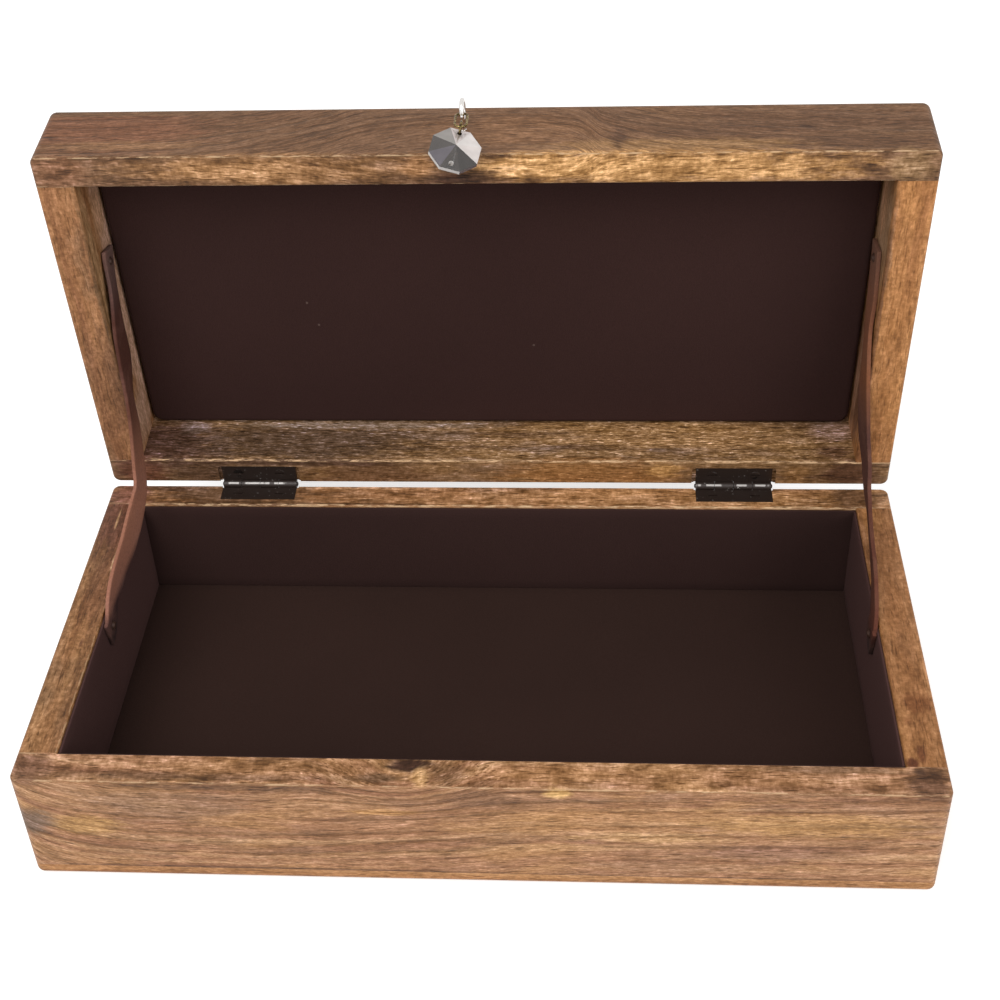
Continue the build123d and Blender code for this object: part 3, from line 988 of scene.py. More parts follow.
@dataclass
class LidPad:
    """The lid's lining: felt over a thin pad, with round corners and a soft edge."""

    margin: float = 0.6
    corner: float = 4.0
    rows: tuple[int, int] = (150, 72)
    # Above 1, the outer rows stay closer together, where the edge turns down
    crowding: float = 1.35
    thickness: float = 4.0
    # How far the face lies under the full thickness before the crown fills it out
    sunk: float = 0.4
    edge: float = 1.6
    crown: float = 0.35
    wave: float = 0.12
    wave_length: float = 38.0
    finish: Felt = field(default_factory=lambda: Felt(
        "needle felt of the lid", "35221F", lint=LINT))

    def build(self) -> list[bpy.types.Object]:
        """Models the pad closed, then carries it to the open lid.

        Returns:
            The pad.
        """
        half = Vector((INNER_HALF_WIDTH - self.margin, INNER_HALF_DEPTH - self.margin))
        bpy.ops.object.select_all(action="DESELECT")
        bpy.ops.mesh.primitive_grid_add(x_subdivisions=self.rows[0], y_subdivisions=self.rows[1], size=1.0)
        pad = bpy.context.object
        pad.name = "lid_felt_pad"
        for vertex in pad.data.vertices:
            place = []
            for value, reach in zip(vertex.co.xy, half):
                share = 2 * value
                place.append(math.copysign(reach * (1 - (1 - abs(share)) ** self.crowding), share))
            corner = half - Vector((self.corner, self.corner))
            over = Vector((max(abs(place[0]) - corner.x, 0.0), max(abs(place[1]) - corner.y, 0.0)))
            reach = over.length
            if over.x > 0 and over.y > 0:
                # A square corner's rows bend round the pad's corner
                over *= max(over.x, over.y) / reach
                reach = over.length
                place = [math.copysign(corner.x + over.x, place[0]),
                         math.copysign(corner.y + over.y, place[1])]
            inside = self.corner - reach if reach > 0 else min(half.x - abs(place[0]),
                                                              half.y - abs(place[1]))
            turn = min(max(inside, 0.0) / self.edge, 1.0)
            drop = self.edge * (1 - math.sqrt(max(0.0, 1 - (1 - turn) ** 2)))
            middle = (1 - (place[0] / half.x) ** 2) * (1 - (place[1] / half.y) ** 2)
            wave = self.wave * noise.noise(Vector((*(p / self.wave_length for p in place), 2.0)))
            flat = LID_BOARD - self.thickness + self.sunk
            vertex.co = (*place, flat + drop - self.crown * middle + wave * turn)
        pick(pad)
        bpy.ops.object.mode_set(mode="EDIT")
        bpy.ops.mesh.select_all(action="SELECT")
        bpy.ops.mesh.flip_normals()
        bpy.ops.mesh.select_mode(type="EDGE")
        bpy.ops.mesh.select_all(action="DESELECT")
        bpy.ops.mesh.select_non_manifold()
        bpy.ops.mesh.extrude_region_move(TRANSFORM_OT_translate={"value": (0.0, 0.0, 1.0)})
        bpy.ops.object.mode_set(mode="OBJECT")
        for vertex in pad.data.vertices:
            if vertex.select:
                vertex.co.z = LID_BOARD
        for vertex in pad.data.vertices:
            vertex.co = open_point(*vertex.co)
        smooth(pad, 50.0)
        dress(pad, self.finish.build())
        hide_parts("lid_lining_pad")
        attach(pad, "lid")
        return [pad]


def along_path(values: Sequence, lengths: Sequence[float], share: float) -> float | Vector:
    """Reads a smooth curve through values at a share of its length.

    Args:
        values: numbers or vectors.
        lengths: how far along each one lies.
        share: from 0, the first, to 1, the last.

    Returns:
        A number or a vector.
    """
    reach = share * lengths[-1]
    k = max(n for n in range(len(lengths) - 1) if lengths[n] <= reach + 1e-9)
    u = (reach - lengths[k]) / (lengths[k + 1] - lengths[k])
    p0, p1, p2 = values[max(k - 1, 0)], values[k], values[k + 1]
    p3 = values[min(k + 2, len(values) - 1)]
    return 0.5 * ((2 * p1) + (p2 - p0) * u + (2 * p0 - 5 * p1 + 4 * p2 - p3) * u ** 2
                  + (3 * p1 - p0 - 3 * p2 + p3) * u ** 3)


@dataclass
class Strap:
    """One leather lid strap, a flat ribbon that slumps over the rim between its tacks."""

    side: str
    # Each row: across, back and up, then how far the ribbon leans, in degrees
    path: tuple[tuple[float, float, float, float], ...]
    finish: Suede
    width: float = 10.0
    thickness: float = 1.2
    soft_edge: float = 0.3
    # The cut edges wander by this share of the width, so many times along the strap
    raggedness: float = 0.02
    wanders: float = 40.0
    rows: tuple[int, int] = (6, 110)
    # The strap's direction is read over a short step, which starts before its end
    step: float = 0.004
    last_start: float = 0.995

    def build(self) -> bpy.types.Object:
        """Models the ribbon along its path.

        Returns:
            The strap.
        """
        bpy.ops.object.select_all(action="DESELECT")
        bpy.ops.mesh.primitive_grid_add(x_subdivisions=self.rows[0], y_subdivisions=self.rows[1], size=1.0)
        strap = bpy.context.object
        strap.name = f"{self.side}_suede_strap"
        places = [Vector(row[:3]) for row in self.path]
        leans = [row[3] for row in self.path]
        lengths = [0.0]
        for here, ahead in zip(places, places[1:]):
            lengths.append(lengths[-1] + (ahead - here).length)
        for vertex in strap.data.vertices:
            share = min(max(vertex.co.y + 0.5, 0.0), 1.0)
            start = min(share, self.last_start)
            ahead = along_path(places, lengths, start + self.step)
            run = (ahead - along_path(places, lengths, start)).normalized()
            upright = run.cross(Vector((1.0, 0.0, 0.0))).normalized()
            turn = Matrix.Rotation(math.radians(along_path(leans, lengths, share)), 3, run)
            ragged = 1 + self.raggedness * noise.noise(Vector((0.0, share * self.wanders, 3.0)))
            place = along_path(places, lengths, share)
            vertex.co = (place + (turn @ upright) * (vertex.co.x * self.width * ragged)) * MM
        solid = strap.modifiers.new("thickness", "SOLIDIFY")
        solid.thickness, solid.offset = self.thickness * MM, 0.0
        soft = strap.modifiers.new("soft edges", "BEVEL")
        soft.width, soft.segments, soft.limit_method = self.soft_edge * MM, 2, "ANGLE"
        apply_modifiers(strap)
        smooth(strap, 50.0)
        dress(strap, self.finish.build())
        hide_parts(f"{self.side}_strap")
        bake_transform(strap)
        return strap


@dataclass
class Hinges:
    """Two black butt hinges with their pins and slotted screws."""

    # A painted highlight line along the knuckles' upper front, where the lid turns
    black: Metal = Metal("black japanned steel", "2A1F1A", "A9A4A0", 0.25, 0.42, 0.02, 1.2,
                         rubbed_and_highlit=((64.5, 42.75, 0.42),))
    screw: Metal = Metal("black japanned screws", "2A1F1A", "5A504A", 0.25, 0.42, 0.12, 1.2)
    # The slots are painted bright steel, as a painted highlight
    slot_glint: Metal = Metal("bright steel painted in the slots as their glint", "D8D4D0", "8B8781", 1.0, 0.30, 0.3, 1.5)
    # Faces that lie this deep under the rim are the screws' slots
    slot_depths: Pair = (0.08, 0.50)

    def screws(self, node: str, place: Place, body: str) -> bpy.types.Object:
        """Copies a node's screws, so that their slots can be painted bright as a highlight.

        Args:
            node: the screws' CAD node.
            place: the half of the box that they hold.
            body: the body that they ride on.

        Returns:
            The screws.
        """
        piece = merged_copy(node, node.replace("hinge_screws", "slotted_screws"))
        rim = LID_RIM if place is Place.LID else TRAY_HEIGHT
        top, floor = self.slot_depths
        for face in piece.data.polygons:
            closed = closing(place) @ (face.center / MM - HINGE) + HINGE
            face.material_index = int(top < abs(closed.z - rim) < floor)
        smooth(piece, 30.0)
        dress(piece, self.screw.build(), self.slot_glint.build())
        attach(piece, body)
        return piece

    def build(self) -> list[bpy.types.Object]:
        """Dresses the hinges and builds the screws.

        Returns:
            The leaves, the pins and the screws.
        """
        black = self.black.build()
        nodes = [f"{side}_hinge_{part}" for side in ("left", "right")
                 for part in ("tray_leaf", "lid_leaf", "pin")]
        for node in nodes:
            dress(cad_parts[node], black)
        return [
            *(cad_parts[node] for node in nodes),
            self.screws("tray_hinge_screws", Place.TRAY, "tray"),
            self.screws("lid_hinge_screws", Place.LID, "lid"),
        ]


@dataclass
class Fixings:
    """Nails, tacks and the screw eye."""

    steel: Metal = Metal("bright wire nails", "A9A6A2", "8B8781", 1.0, 0.35, 0.3, 1.5)
    # The tacks are painted as dark as the strap's painted shade
    browned: Metal = Metal("tacks darkened as painted shade", "40291F", "52382C", 0.3, 0.55, 0.2, 1.0)
    nickel: Metal = Metal("nickel plate", "E4E0DC", "A8A29C", 1.0, 0.22, 0.2, 1.5)

    def build(self) -> list[bpy.types.Object]:
        """Dresses the fixings.

        Returns:
            The nails, the tacks and the eye.
        """
        finishes = {
            self.steel: ["tray_corner_nails", "tray_board_nails", "lid_corner_nails",
                         "lid_board_nails"],
            self.browned: ["tray_strap_tacks", "lid_strap_tacks"],
            self.nickel: ["screw_eye"],
        }
        for finish, nodes in finishes.items():
            material = finish.build()
            for node in nodes:
                dress(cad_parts[node], material)
        return [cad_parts[node] for nodes in finishes.values() for node in nodes]


@dataclass
class Pull:
    """The crystal bead that hangs from the screw eye by a link and a ring."""

    brass: Metal = Metal("dulled brass wire", "8F7C50", "463A24", 1.0, 0.24, 0.55, 0.8)
    glass: CutGlass = field(default_factory=CutGlass)
    # How the bead hangs on the closed lid: turned on its own upright line, out from the case, aslant
    turned: Triple = (12.0, 20.0, 6.0)
    hole_from_middle: float = 5.3
    hole_radius: float = 0.85
    # How pale the painted reflection on each of the front's eight facets is, from the right one,
    # anticlockwise
    front: tuple[float, ...] = (0.90, 0.93, 0.86, 0.62, 0.28, 0.42, 0.22, 0.12)
    # Painted reflections on the back's four facets and the girdle's eight; the girdle's palest faces are
    # painted highlights
    back: tuple[float, ...] = (0.55, 0.75, 0.35, 0.65)
    girdle: tuple[float, ...] = (0.70, 0.60, 0.50, 0.60, 0.80, 1.00, 0.95, 0.45)

    def tone(self, place: Vector, normal: Vector) -> float:
        """Tells how pale a face of the upright bead is painted, as its painted reflection.

        Args:
            place: its middle, from the bead's middle.
            normal: its direction.

        Returns:
            The tone, where 0 is dark and 1 is pale.
        """
        # The lower hole is painted white as a highlight, the upper one dark
        for hole, tone in ((self.hole_from_middle, 0.1), (-self.hole_from_middle, 1.0)):
            off_hole = math.hypot(place.x / MM, place.z / MM - hole)
            if abs(normal.y) < 0.3 and off_hole < self.hole_radius:
                return tone
        spin = math.degrees(math.atan2(normal.z, normal.x)) % 360
        eighth = int(((spin + 22.5) % 360) // 45)
        if abs(normal.y) < 0.2:
            return self.girdle[eighth]
        if normal.y < 0:
            return self.front[eighth]
        return self.back[eighth % 4]

    def crystal(self) -> bpy.types.Object:
        """Copies the bead and notes each facet's painted reflection tone.

        Returns:
            The bead.
        """
        piece = merged_copy("pull_crystal", "cut_crystal_bead")
        low, high = (Vector(v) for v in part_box("pull_crystal"))
        middle = (low + high) / 2
        roll, swing, slant = (math.radians(a) for a in self.turned)
        hung = (Matrix.Rotation(-LID_ANGLE, 3, "X") @ Matrix.Rotation(roll, 3, "Z")
                @ Matrix.Rotation(swing, 3, "X") @ Matrix.Rotation(slant, 3, "Y"))
        upright = hung.transposed()
        tones = [self.tone(upright @ (face.center - middle), upright @ face.normal)
                 for face in piece.data.polygons]
        painted_reflection = piece.data.attributes.new("painted_reflection", "FLOAT", "FACE")
        painted_reflection.data.foreach_set("value", tones)
        dress(piece, self.glass.build())
        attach(piece, "crystal")
        return piece

    def build(self) -> list[bpy.types.Object]:
        """Dresses the link and ring, and builds the crystal.

        Returns:
            The link, the ring and the crystal.
        """
        brass = self.brass.build()
        for node in ("pull_link", "pull_ring"):
            dress(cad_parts[node], brass)
        return [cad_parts["pull_link"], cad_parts["pull_ring"], self.crystal()]


@dataclass
class Studio:
    """A pale floor, soft lamps and the camera."""

    lens: float = 59.469
    sensor: float = 36.0
    location: Triple = (0.03221, -0.36326, 0.39346)
    yaw: float = math.radians(4.952)
    pitch: float = math.radians(37.427)
    roll: float = math.radians(-2.865)
    shift: Pair = (0.02269, -0.06811)
    floor_size: float = 8.0
    # The floor's own glow, and the room's light on the box; the camera sees both as white
    floor_glow: float = 0.42
    room_light: float = 0.60
    lamp_size: float = 0.9
    lamps_aim: Triple = (0.0, 0.0, 0.06)

    def camera(self) -> None:
        """Stands the camera where the photograph was taken."""
        data = bpy.data.cameras.new("camera")
        data.lens, data.sensor_width = self.lens, self.sensor
        data.shift_x, data.shift_y = self.shift
        data.clip_start, data.clip_end = 0.01, 20.0
        camera = bpy.data.objects.new("camera", data)
        bpy.context.scene.collection.objects.link(camera)
        side = Vector((math.cos(self.yaw), math.sin(self.yaw), 0.0))
        ahead = Vector((-math.sin(self.yaw), math.cos(self.yaw), 0.0))
        up = Vector((0.0, 0.0, 1.0))
        forward = math.cos(self.pitch) * ahead - math.sin(self.pitch) * up
        upright = math.sin(self.pitch) * ahead + math.cos(self.pitch) * up
        right = math.cos(self.roll) * side + math.sin(self.roll) * upright
        top = -math.sin(self.roll) * side + math.cos(self.roll) * upright
        turn = Matrix((right, top, -forward)).transposed()
        camera.matrix_world = Matrix.Translation(self.location) @ turn.to_4x4()
        bpy.context.scene.camera = camera

    def seen(self, tree: Tree) -> Socket:
        """Is 1 for what the camera sees, straight or by a mirror or glass, and 0 for light.

        Args:
            tree: the material's or the world's node tree.

        Returns:
            The socket of the value.
        """
        path = add(tree, "ShaderNodeLightPath")
        seen = add(tree, MATH, {0: path.outputs["Is Camera Ray"], 1: path.outputs["Is Glossy Ray"]},
                   operation="MAXIMUM")
        return add(tree, MATH, {0: seen, 1: path.outputs["Is Transmission Ray"]},
                   operation="MAXIMUM").outputs[0]

    def floor(self) -> None:
        """Lays the floor, which shows white but keeps the box's shadow."""
        bpy.ops.object.select_all(action="DESELECT")
        bpy.ops.mesh.primitive_plane_add(size=self.floor_size)
        floor = bpy.context.object
        floor.name = "floor"
        material, tree = new_material("pale floor")
        glow = add(tree, MATH, {0: self.seen(tree), 1: self.floor_glow}, operation="MULTIPLY")
        add(tree, OUTPUT, {"Surface": add(tree, PRINCIPLED, {
            "Base Color": linear("EDEDED"), "Roughness": 0.9, "Specular IOR Level": 0.0,
            "Emission Color": linear("FFFFFF"), "Emission Strength": glow})})
        dress(floor, material)

    def world(self) -> None:
        """Sets the soft light from all round."""
        world = bpy.data.worlds.new("studio")
        bpy.context.scene.world = world
        world.use_nodes = True
        tree = world.node_tree
        tree.nodes.clear()
        strength = add(tree, RANGE, {0: self.seen(tree), 3: self.room_light, 4: 1.0})
        glow = add(tree, "ShaderNodeBackground", {0: linear("FFFFFF"), 1: strength})
        add(tree, "ShaderNodeOutputWorld", {0: glow})

    def lamps(self) -> None:
        """Hangs two soft lamps over the camera's shoulders."""
        lamps = (("key", (-0.45, -0.80, 1.30), 13.0), ("fill", (0.90, -0.70, 0.80), 6.0))
        for name, place, power in lamps:
            data = bpy.data.lights.new(name, "AREA")
            data.size, data.energy = self.lamp_size, power
            lamp = bpy.data.objects.new(name, data)
            bpy.context.scene.collection.objects.link(lamp)
            aim = Vector(self.lamps_aim) - Vector(place)
            lamp.matrix_world = (Matrix.Translation(place)
                                 @ aim.to_track_quat("-Z", "Y").to_matrix().to_4x4())

    def build(self) -> None:
        """Sets the whole studio up."""
        self.camera()
        self.floor()
        self.world()
        self.lamps()
        bpy.context.scene.view_settings.view_transform = "Standard"


# Arrises of the long rails, as places back and up, just under their roundings
TRAY_FRONT_EDGES = ((-64.77, 41.07), (-54.98, 41.12))
LID_FRONT_EDGES = ((-64.77, 42.23), (-54.98, 42.18))

# The lid's front is painted darker, by its wax and its own colours, as painted shade
SHADED_LID_FRONT = MangoWood(
    "mango, front of the lid, painted in shade", Place.LID, wax_and_shade=(0.75, 0.64, 0.48), seed=6.0, saw_height=LID_RIM,
    dark="725542", middle="7E604B", light="8A6B55", gold="8B6C4F", gold_share=0.3, grey="6D5648",
    grey_share=0.3, edges=LID_FRONT_EDGES, edge_strength=0.7,
    run=((-130, 0), (-100, 1), (-80, 4), (-60, 9), (-45, 15), (-30, 22), (0, 26), (25, 24),
         (36, 14), (50, 8), (70, 3.5), (100, 1), (130, 0)),
    lines=(33, 36.5, 40, 44, 48.5, 53, 57.5, 62), line_width=0.6, line_strength=0.34, contrast=1.3,
    streak_strength=0.18, figure=0.07, rim_figure=0.24,
    stains=(
        Stain((-112, -65, 57), (38, 5, 16), "8D5F4A", 0.6),
        Stain((-105, -65, 48), (30, 4, 3), "AC8A6C", 0.5),
        Stain((55, -65, 46), (45, 5, 4), "BA9770", 0.6),
        Stain((40, -65, 50), (3.0, 4, 7), "54392A", 0.6),
        Stain((95, -65, 58), (40, 4, 9), "6E5240", 0.6),
        Stain((112, -65, 47), (22, 4, 5), "6A4E3A", 0.7),
        Stain((8, -65, 54), (34, 4, 10), "957156", 0.6),
        Stain((15, -65, 65.2), (6, 2, 0.3), "DCC2A4", 0.9),
        Stain((-17, -65, 65.5), (2.5, 2, 0.3), "DCC2A4", 0.8),
        Stain((57, -65, 65.6), (4, 2, 0.3), "C9AC8C", 0.8),
        Stain((-122, -60, 42.3), (10, 8, 3), "96705A", 0.9),
        Stain((-65, -60, 42.3), (50, 7, 3), "B28B68", 0.85),
        Stain((-17, -61, 42.3), (6, 5, 3), "CDA07A", 0.8),
        Stain((58, -60, 42.3), (62, 7.5, 3), "D2A878", 0.95),
        Stain((24, -61, 42.3), (30, 5.5, 2.5), "F4C896", 0.85),
        Stain((-70, -60, 42.3), (24, 4, 2), "CBA27C", 0.7),
        Stain((-92, -55.8, 42.3), (26, 1.6, 2), "6E513C", 0.8),
        Stain((-7, -56.6, 42.3), (13, 2.6, 2.4), "51362A", 0.9),
        Stain((122, -60, 42.3), (8, 7, 3), "9E8264", 0.8),
    ),
)

# The side rails' fibres look shorter and softer from in front, most of all on the right
LEFT_RAIL = MangoWood(
    "mango, left", grain=Grain.ALONG_Y, fibre_mm=(3.5, 0.8, 1.4), fibre_contrast=0.34, contrast=1.5,
    speckle_mm=(1.5, 1.1, 1.1), pore_strength=0.32, fleck_strength=0.16)
RIGHT_RAIL = replace(
    LEFT_RAIL, name="mango, right", fibre_contrast=0.30, speckle=0.16, pore_strength=0.28,
    fleck_strength=0.12, grey_share=0.1)

WOODS: dict[str, MangoWood] = {
    "tray_front_rail": MangoWood(
        "mango, front of the tray", wax_and_shade=(0.90, 0.84, 0.78), seed=1.0, saw_height=TRAY_HEIGHT,
        edges=TRAY_FRONT_EDGES,
        run=((-130, 12), (-118, 4.5), (-100, 0.8), (-80, 0), (-50, 0), (-20, 1.8), (0, 3.2),
             (20, 5), (60, 6.3), (100, 7), (130, 8)),
        lines=(11.7, 16.2, 20.5, 26.8, 31.0, 35.5, 39.5, 43.5), line_width=0.75,
        line_strength=0.46, streak_strength=0.15, fibre_contrast=0.48, figure=0.10, contrast=1.35,
        grey="8E6F58",
        swirls=(Swirl((-20, -60, 43), (30, 26, 19), 9.0),),
        stains=(
            Stain((-60, -65, 4.9), (80, 3, 0.6), "5E4231", 0.7),
            Stain((70, -65, 4.7), (70, 3, 0.5), "6A4A36", 0.6),
            Stain((-111, -65, 22.6), (13, 4, 5), "C0975F", 0.7),
            Stain((-127, -65, 24), (8, 5, 7), "7C685B", 0.85),
            Stain((-85, -65, 32), (26, 4, 7), "937661", 0.45),
            Stain((-38, -65, 33), (20, 4, 6), "BC926C", 0.5),
            Stain((40, -65, 29), (45, 4, 8), "BE9160", 0.45),
            Stain((95, -65, 28), (38, 4, 6), "BF945C", 0.6),
            Stain((85, -65, 16), (30, 4, 4), "8B6758", 0.5),
            Stain((50, -65, 21.5), (28, 4, 2.6), "D8B082", 0.7),
            Stain((23.5, -65, 39.6), (4.5, 4, 2.2), "E2BA7C", 0.9),
            Stain((-75, -65, 39.9), (44, 3.5, 1.7), "6C4D34", 0.8),
            Stain((2, -65, 37), (15, 5, 5), "7E5D45", 0.6),
            Stain((-26, -65, 30.6), (12, 4, 1.4), "D0A06A", 0.8),
            Stain((-75, -62.3, 41.5), (44, 2.2, 1.2), "6C4F38", 0.8),
            Stain((22, -59.5, 41.4), (26, 4, 1.5), "AE8258", 0.75),
            Stain((78, -60, 41.4), (28, 3.4, 1.5), "9E7450", 0.7),
            Stain((-65, -59.5, 41.4), (40, 3.2, 1.5), "A67C58", 0.75),
            Stain((98, -56.2, 41.4), (24, 1.8, 1.5), "7A5B42", 0.7),
            Stain((100, -63.8, 41.4), (30, 1.8, 1.5), "8A6346", 0.7),
            Stain((-18, -57.0, 41.3), (8.0, 4.0, 5), "3A2417", 1.0),
            Stain((-27, -62, 41.3), (9, 2.2, 1.5), "584029", 0.8),
            Stain((-14.5, -61.3, 41.4), (3.0, 4.2, 1.6), "DDB280", 0.95),
            Stain((-8, -60, 41), (7, 5, 4), "7A5A41", 0.7),
            Stain((-124.8, -60, 41.3), (7.6, 7.5, 2.6), "84604A", 0.9),
            Stain((124.2, -60, 41.3), (8.0, 7.5, 3.0), "5C3E29", 0.95),
            Stain((122, -57, 41.3), (2.2, 2.0, 1.5), "3E281A", 0.8),
        ),
    ),
    "tray_bottom_board": MangoWood(
        "mango, bottom board", wax_and_shade=(0.84, 0.75, 0.64), seed=2.0, dark="9A6C48", middle="B28459",
        light="C69A6E", gold_share=0.3, grey_share=0.15,
    ),
    "tray_back_rail": MangoWood(
        "mango, back of the tray", wax_and_shade=(0.94, 0.87, 0.84), seed=3.0, saw_height=TRAY_HEIGHT,
        dark="85603F", middle="A87C54", light="BE946A",
        edges=((54.98, 41.12),), edge_strength=0.9, edge_width=0.45,
        stains=(
            Stain((-88, 60, 41.3), (34, 7, 4), "664C36", 0.9),
            Stain((-85, 55.8, 41.3), (40, 1.8, 2), "6E5138", 0.8),
            Stain((-112, 63.5, 41.3), (18, 2.5, 2), "6E5340", 0.8),
            Stain((-124, 60, 41.3), (9, 9, 5), "85584A", 0.8),
            Stain((119, 60, 41.3), (10, 8, 4), "63472F", 0.85),
            Stain((-40, 55.6, 41.3), (34, 0.7, 1.2), "5E4026", 0.8),
            Stain((40, 60, 41.3), (60, 5, 2), "B68B5C", 0.5),
        ),
    ),
    "tray_left_rail": replace(
        LEFT_RAIL, name="mango, left of the tray", wax_and_shade=(0.65, 0.57, 0.48), seed=4.0, contrast=1.7,
        dark="9B6F4A", middle="AF8158", light="C0946A", gold="BE9468",
        edges=((-119.0, 41.2),), edge_strength=0.35,
        stains=(
            Stain((-124, 50, 41.3), (12, 26, 8), "7B5040", 0.9),
            Stain((-122, 16, 41.3), (7, 26, 4), "93654A", 0.6),
            Stain((-124.6, 47, 41.4), (0.5, 6.0, 1.0), "D9B38A", 0.9),
            Stain((-121.2, 26, 41.4), (0.5, 7.0, 1.0), "E4C39C", 0.95),
            Stain((-122.5, -11, 41.4), (0.9, 3.0, 1.0), "734A30", 0.8),
            Stain((-120.2, -25, 41.3), (2.4, 42, 1.4), "87603F", 0.65),
            Stain((-129, 0, 38), (3, 60, 5), "8E6A4A", 0.5),
        ),
    ),
    "tray_right_rail": replace(
        RIGHT_RAIL, name="mango, right of the tray", wax_and_shade=(0.73, 0.66, 0.62), seed=5.0, contrast=1.6,
        dark="9E6E44", middle="AC7B4E", light="BC8C5E", gold="B98853",
        stains=(
            Stain((120.6, -53.5, 41.3), (2.2, 2.6, 1.6), "5F3219", 0.95),
            Stain((123.6, -50, 41.3), (1.8, 4.2, 1.6), "6D3D1F", 0.8),
            Stain((121.5, -38, 41.3), (1.5, 2.2, 1.2), "84532E", 0.6),
            Stain((125, -31, 41.3), (5, 5, 2), "84522C", 0.75),
            Stain((119.6, 36, 41.3), (1.4, 24, 2), "9C7150", 0.6),
        ),
    ),
    "lid_front_rail": SHADED_LID_FRONT,
    "lid_back_rail": MangoWood(
        "mango, back of the lid", Place.LID, wax_and_shade=(1.03, 0.96, 1.02), seed=7.0, saw_height=LID_RIM,
        dark="62482F", middle="84653F", light="A07E55", gold="94703F", contrast=2.4,
        rim_contrast=1.3, fleck_strength=0.5, figure=0.10, rim_figure=0.10, streak_strength=0.12,
        edges=((54.98, 42.18),), edge_strength=0.95, edge_width=0.45, edge_colour="DDB68C",
        stains=(
            Stain((-112, 54.8, 50), (26, 6, 14), "5C4235", 0.9),
            Stain((-103, 54.8, 58), (6, 3, 4), "9A8473", 0.7),
            Stain((-66, 54.8, 51), (54, 6, 12), "513E2C", 0.85),
            Stain((-45, 54.8, 59.5), (50, 3, 2.4), "94806A", 0.75),
            Stain((62, 54.8, 55), (48, 6, 9), "A8814F", 0.55),
            Stain((113, 54.8, 57), (9, 4, 6), "A0816A", 0.7),
            Stain((112, 54.8, 47), (7, 4, 4), "573B28", 0.7),
            Stain((-120, 60, 42.3), (12, 9, 4), "67402F", 0.8),
            Stain((-98, 60, 42.3), (14, 8, 3), "5C4430", 0.8),
            Stain((-42, 61, 42.3), (28, 8, 3), "6C4E32", 0.8),
            Stain((-70, 56, 42.2), (60, 1.7, 1.2), "5A4230", 0.85),
            Stain((32, 60, 42.3), (38, 8, 3), "9A6E3D", 0.8),
            Stain((56, 58.5, 42.3), (7, 4, 2), "B98E52", 0.85),
            # The right strap's painted shadow on the rim
            Stain((117, 60, 42.3), (11, 8, 4), "593C28", 0.9),
            Stain((100, 60, 42.3), (6, 5, 2), "977141", 0.6),
        ),
    ),
    "lid_left_rail": replace(
        LEFT_RAIL, name="mango, left of the lid", place=Place.LID, wax_and_shade=(0.79, 0.67, 0.59), seed=8.0,
        dark="946947", middle="A97D54", light="BC9268", gold="B88F62",
        stains=(
            # Painted light and shade on the inner wall: paler near the panel, darker toward the rim, and a
            # dark line along the rim's inner edge
            Stain((-118.6, -5, 58.5), (3, 68, 8), "DCBBA6", 0.95),
            Stain((-118.6, 0, 45), (2, 64, 5), "BA9B74", 0.9),
            Stain((-118.6, 44, 52), (2, 13, 12), "CDAE98", 0.85),
            Stain((-118.6, -36, 56), (2, 9, 6), "DDB693", 0.8),
            Stain((-119.2, 0, 42.3), (1.1, 62, 1.5), "6B5134", 0.85),
            Stain((-125, 25, 42.3), (8, 34, 3), "8F6949", 0.6),
            Stain((-121, 20, 42.3), (3, 30, 2), "835E41", 0.6),
        ),
    ),
    "lid_right_rail": replace(
        RIGHT_RAIL, name="mango, right of the lid", place=Place.LID, wax_and_shade=(0.97, 0.86, 0.80), seed=9.0,
        dark="9A6B42", middle="A97949", light="B98A5A", gold="B78650",
        stains=(
            # Painted light and shade on the inner wall and rim: paler at the front, darker at the back
            # where the strap shades them, and a dark line along the rim's inner edge
            Stain((118.6, -30, 52), (2.5, 34, 14), "967D62", 0.9),
            Stain((118.6, 26, 54), (2.5, 36, 14), "6B4D3B", 0.95),
            Stain((118.6, 34, 58), (2.0, 30, 4), "9A7862", 0.8),
            Stain((118.6, -37, 56), (2.0, 12, 6), "C49C7A", 0.8),
            Stain((119.0, 0, 42.3), (0.9, 62, 1.5), "6B4B33", 0.8),
            Stain((119.6, 44, 42.3), (2.8, 18, 2), "7C573D", 0.8),
        ),
    ),
    # The top board takes the front's colours, and so its painted shade
    "lid_top_board": replace(
        SHADED_LID_FRONT, name="mango, top board", saw_height=None, edges=((-64.4, 67.7),), edge_strength=0.6,
        lines=(66, 70, 76, 83, 92, 101, 113, 126, 139), swirls=(Swirl((46, 8, 68), (36, 20, 20), 12.0),),
        stains=(Stain((0, 8, 69), (200, 74, 5), "A98063", 0.8),
                Stain((46, 8, 68.3), (5, 4, 4), "5A3E2B", 0.9)),
    ),
}

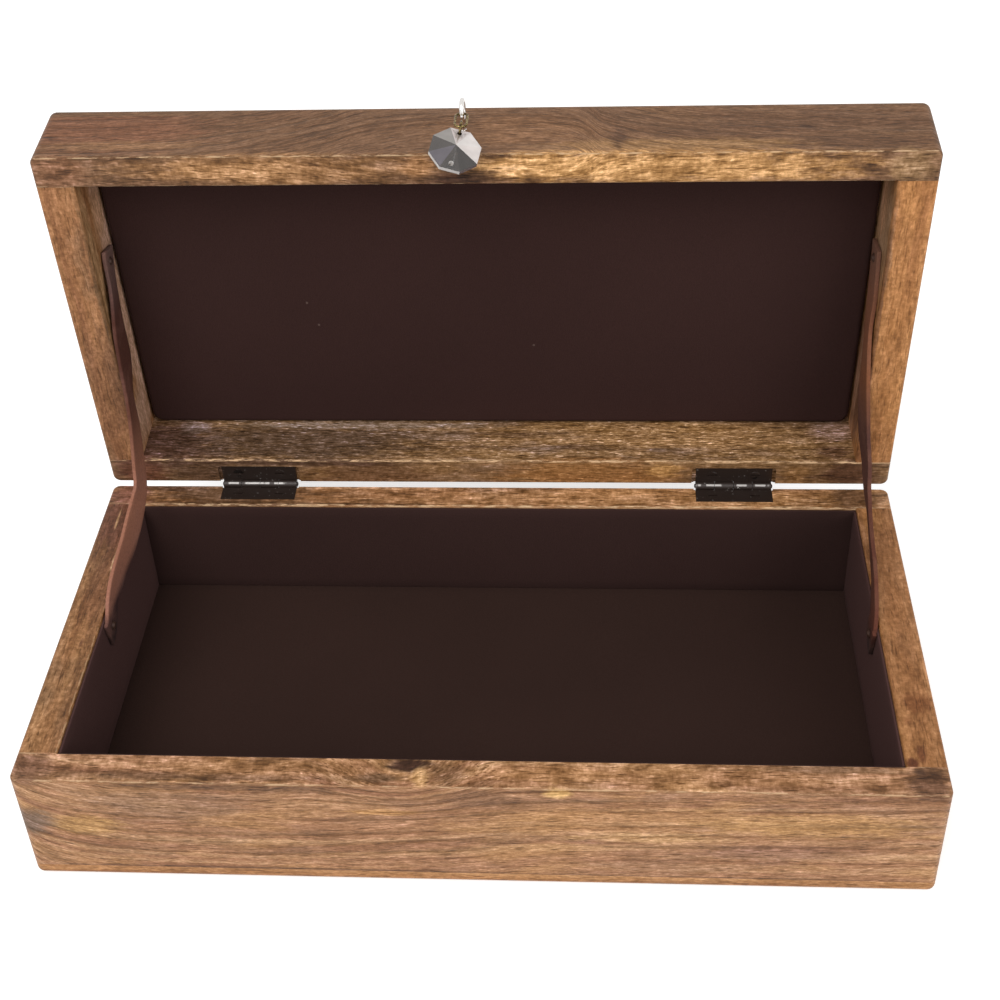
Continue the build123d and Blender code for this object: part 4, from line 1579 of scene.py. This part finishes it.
LEFT_PATH = (
    (-117.0, -2.3, 35.6, 0.0), (-117.0, 1.5, 36.8, 0.0), (-117.1, 7.9, 42.6, 0.0),
    (-117.1, 17.5, 44.1, -3.0), (-116.9, 27.8, 44.8, -7.0), (-116.6, 38.1, 46.8, -10.0),
    (-116.2, 45.8, 49.5, -8.0), (-115.9, 50.6, 52.9, -5.0), (-116.4, 54.5, 58.9, -3.0),
    (-116.7, 58.6, 70.0, 1.0), (-117.2, 61.2, 80.2, 6.0), (-117.2, 64.0, 93.3, -3.0),
    (-117.5, 65.3, 105.6, 1.0), (-117.2, 66.9, 119.2, 7.0), (-117.7, 69.4, 127.8, 3.0),
    (-117.7, 70.5, 131.7, 1.0),
)
RIGHT_PATH = (
    (117.0, -2.3, 35.6, 0.0), (117.1, 1.5, 36.8, 0.0), (117.8, 5.8, 42.6, 0.0),
    (118.9, 17.1, 46.2, -3.0), (119.7, 27.7, 46.7, -6.0), (120.2, 37.6, 48.6, -7.0),
    (120.5, 45.0, 51.2, -6.0), (120.2, 49.6, 54.4, -2.0), (119.9, 54.2, 60.9, 3.0),
    (118.8, 58.1, 69.8, 7.0), (118.1, 61.8, 81.2, 6.0), (117.8, 64.4, 93.7, 0.0),
    (117.6, 66.6, 105.8, -2.0), (117.8, 67.7, 116.4, 1.0), (117.8, 69.4, 127.8, 0.0),
    (117.8, 69.9, 131.8, 0.0),
)
# Each strap's colour by height paints its light and shade: dark at the low end in the shaded tray, pale
# over the rim, darker along the lid; the right strap, more shaded, is painted darker
LEFT_SUEDE_PAINTED = Suede("suede of the left strap, painted lit and shaded", (
    (34.0, "2E1C1A"), (40.0, "3C2422"), (43.0, "966552"), (50.0, "9E6A54"), (66.0, "845744"),
    (78.0, "5E382B"), (92.0, "4C2A20"), (110.0, "4C2A20"), (122.0, "5C423C"), (136.0, "6A5048"),
))
RIGHT_SUEDE_PAINTED = Suede("suede of the right strap, painted lit and shaded", (
    (34.0, "2E1C1A"), (42.0, "5A3022"), (50.0, "5C3426"), (60.0, "54332A"), (72.0, "4E3028"),
    (90.0, "7A4B30"), (110.0, "774A34"), (136.0, "6A4A3C"),
), worn="75503F")


def report(pieces: Iterable[bpy.types.Object]) -> None:
    """Logs each piece that is done.

    Args:
        pieces: the pieces.
    """
    for piece in pieces:
        log.info("%s: %d faces", piece.name, len(piece.data.polygons))


def main() -> None:
    """Builds the studio and the box."""
    logging.basicConfig(level=logging.INFO, format="%(message)s")
    Studio().build()
    report(Case(WOODS).build())
    report(TrayLining().build())
    report(LidPad().build())
    report(Hinges().build())
    report(Fixings().build())
    report(Pull().build())
    report([Strap("left", LEFT_PATH, LEFT_SUEDE_PAINTED).build(),
            Strap("right", RIGHT_PATH, RIGHT_SUEDE_PAINTED).build()])


if __name__ == "__main__":
    main()
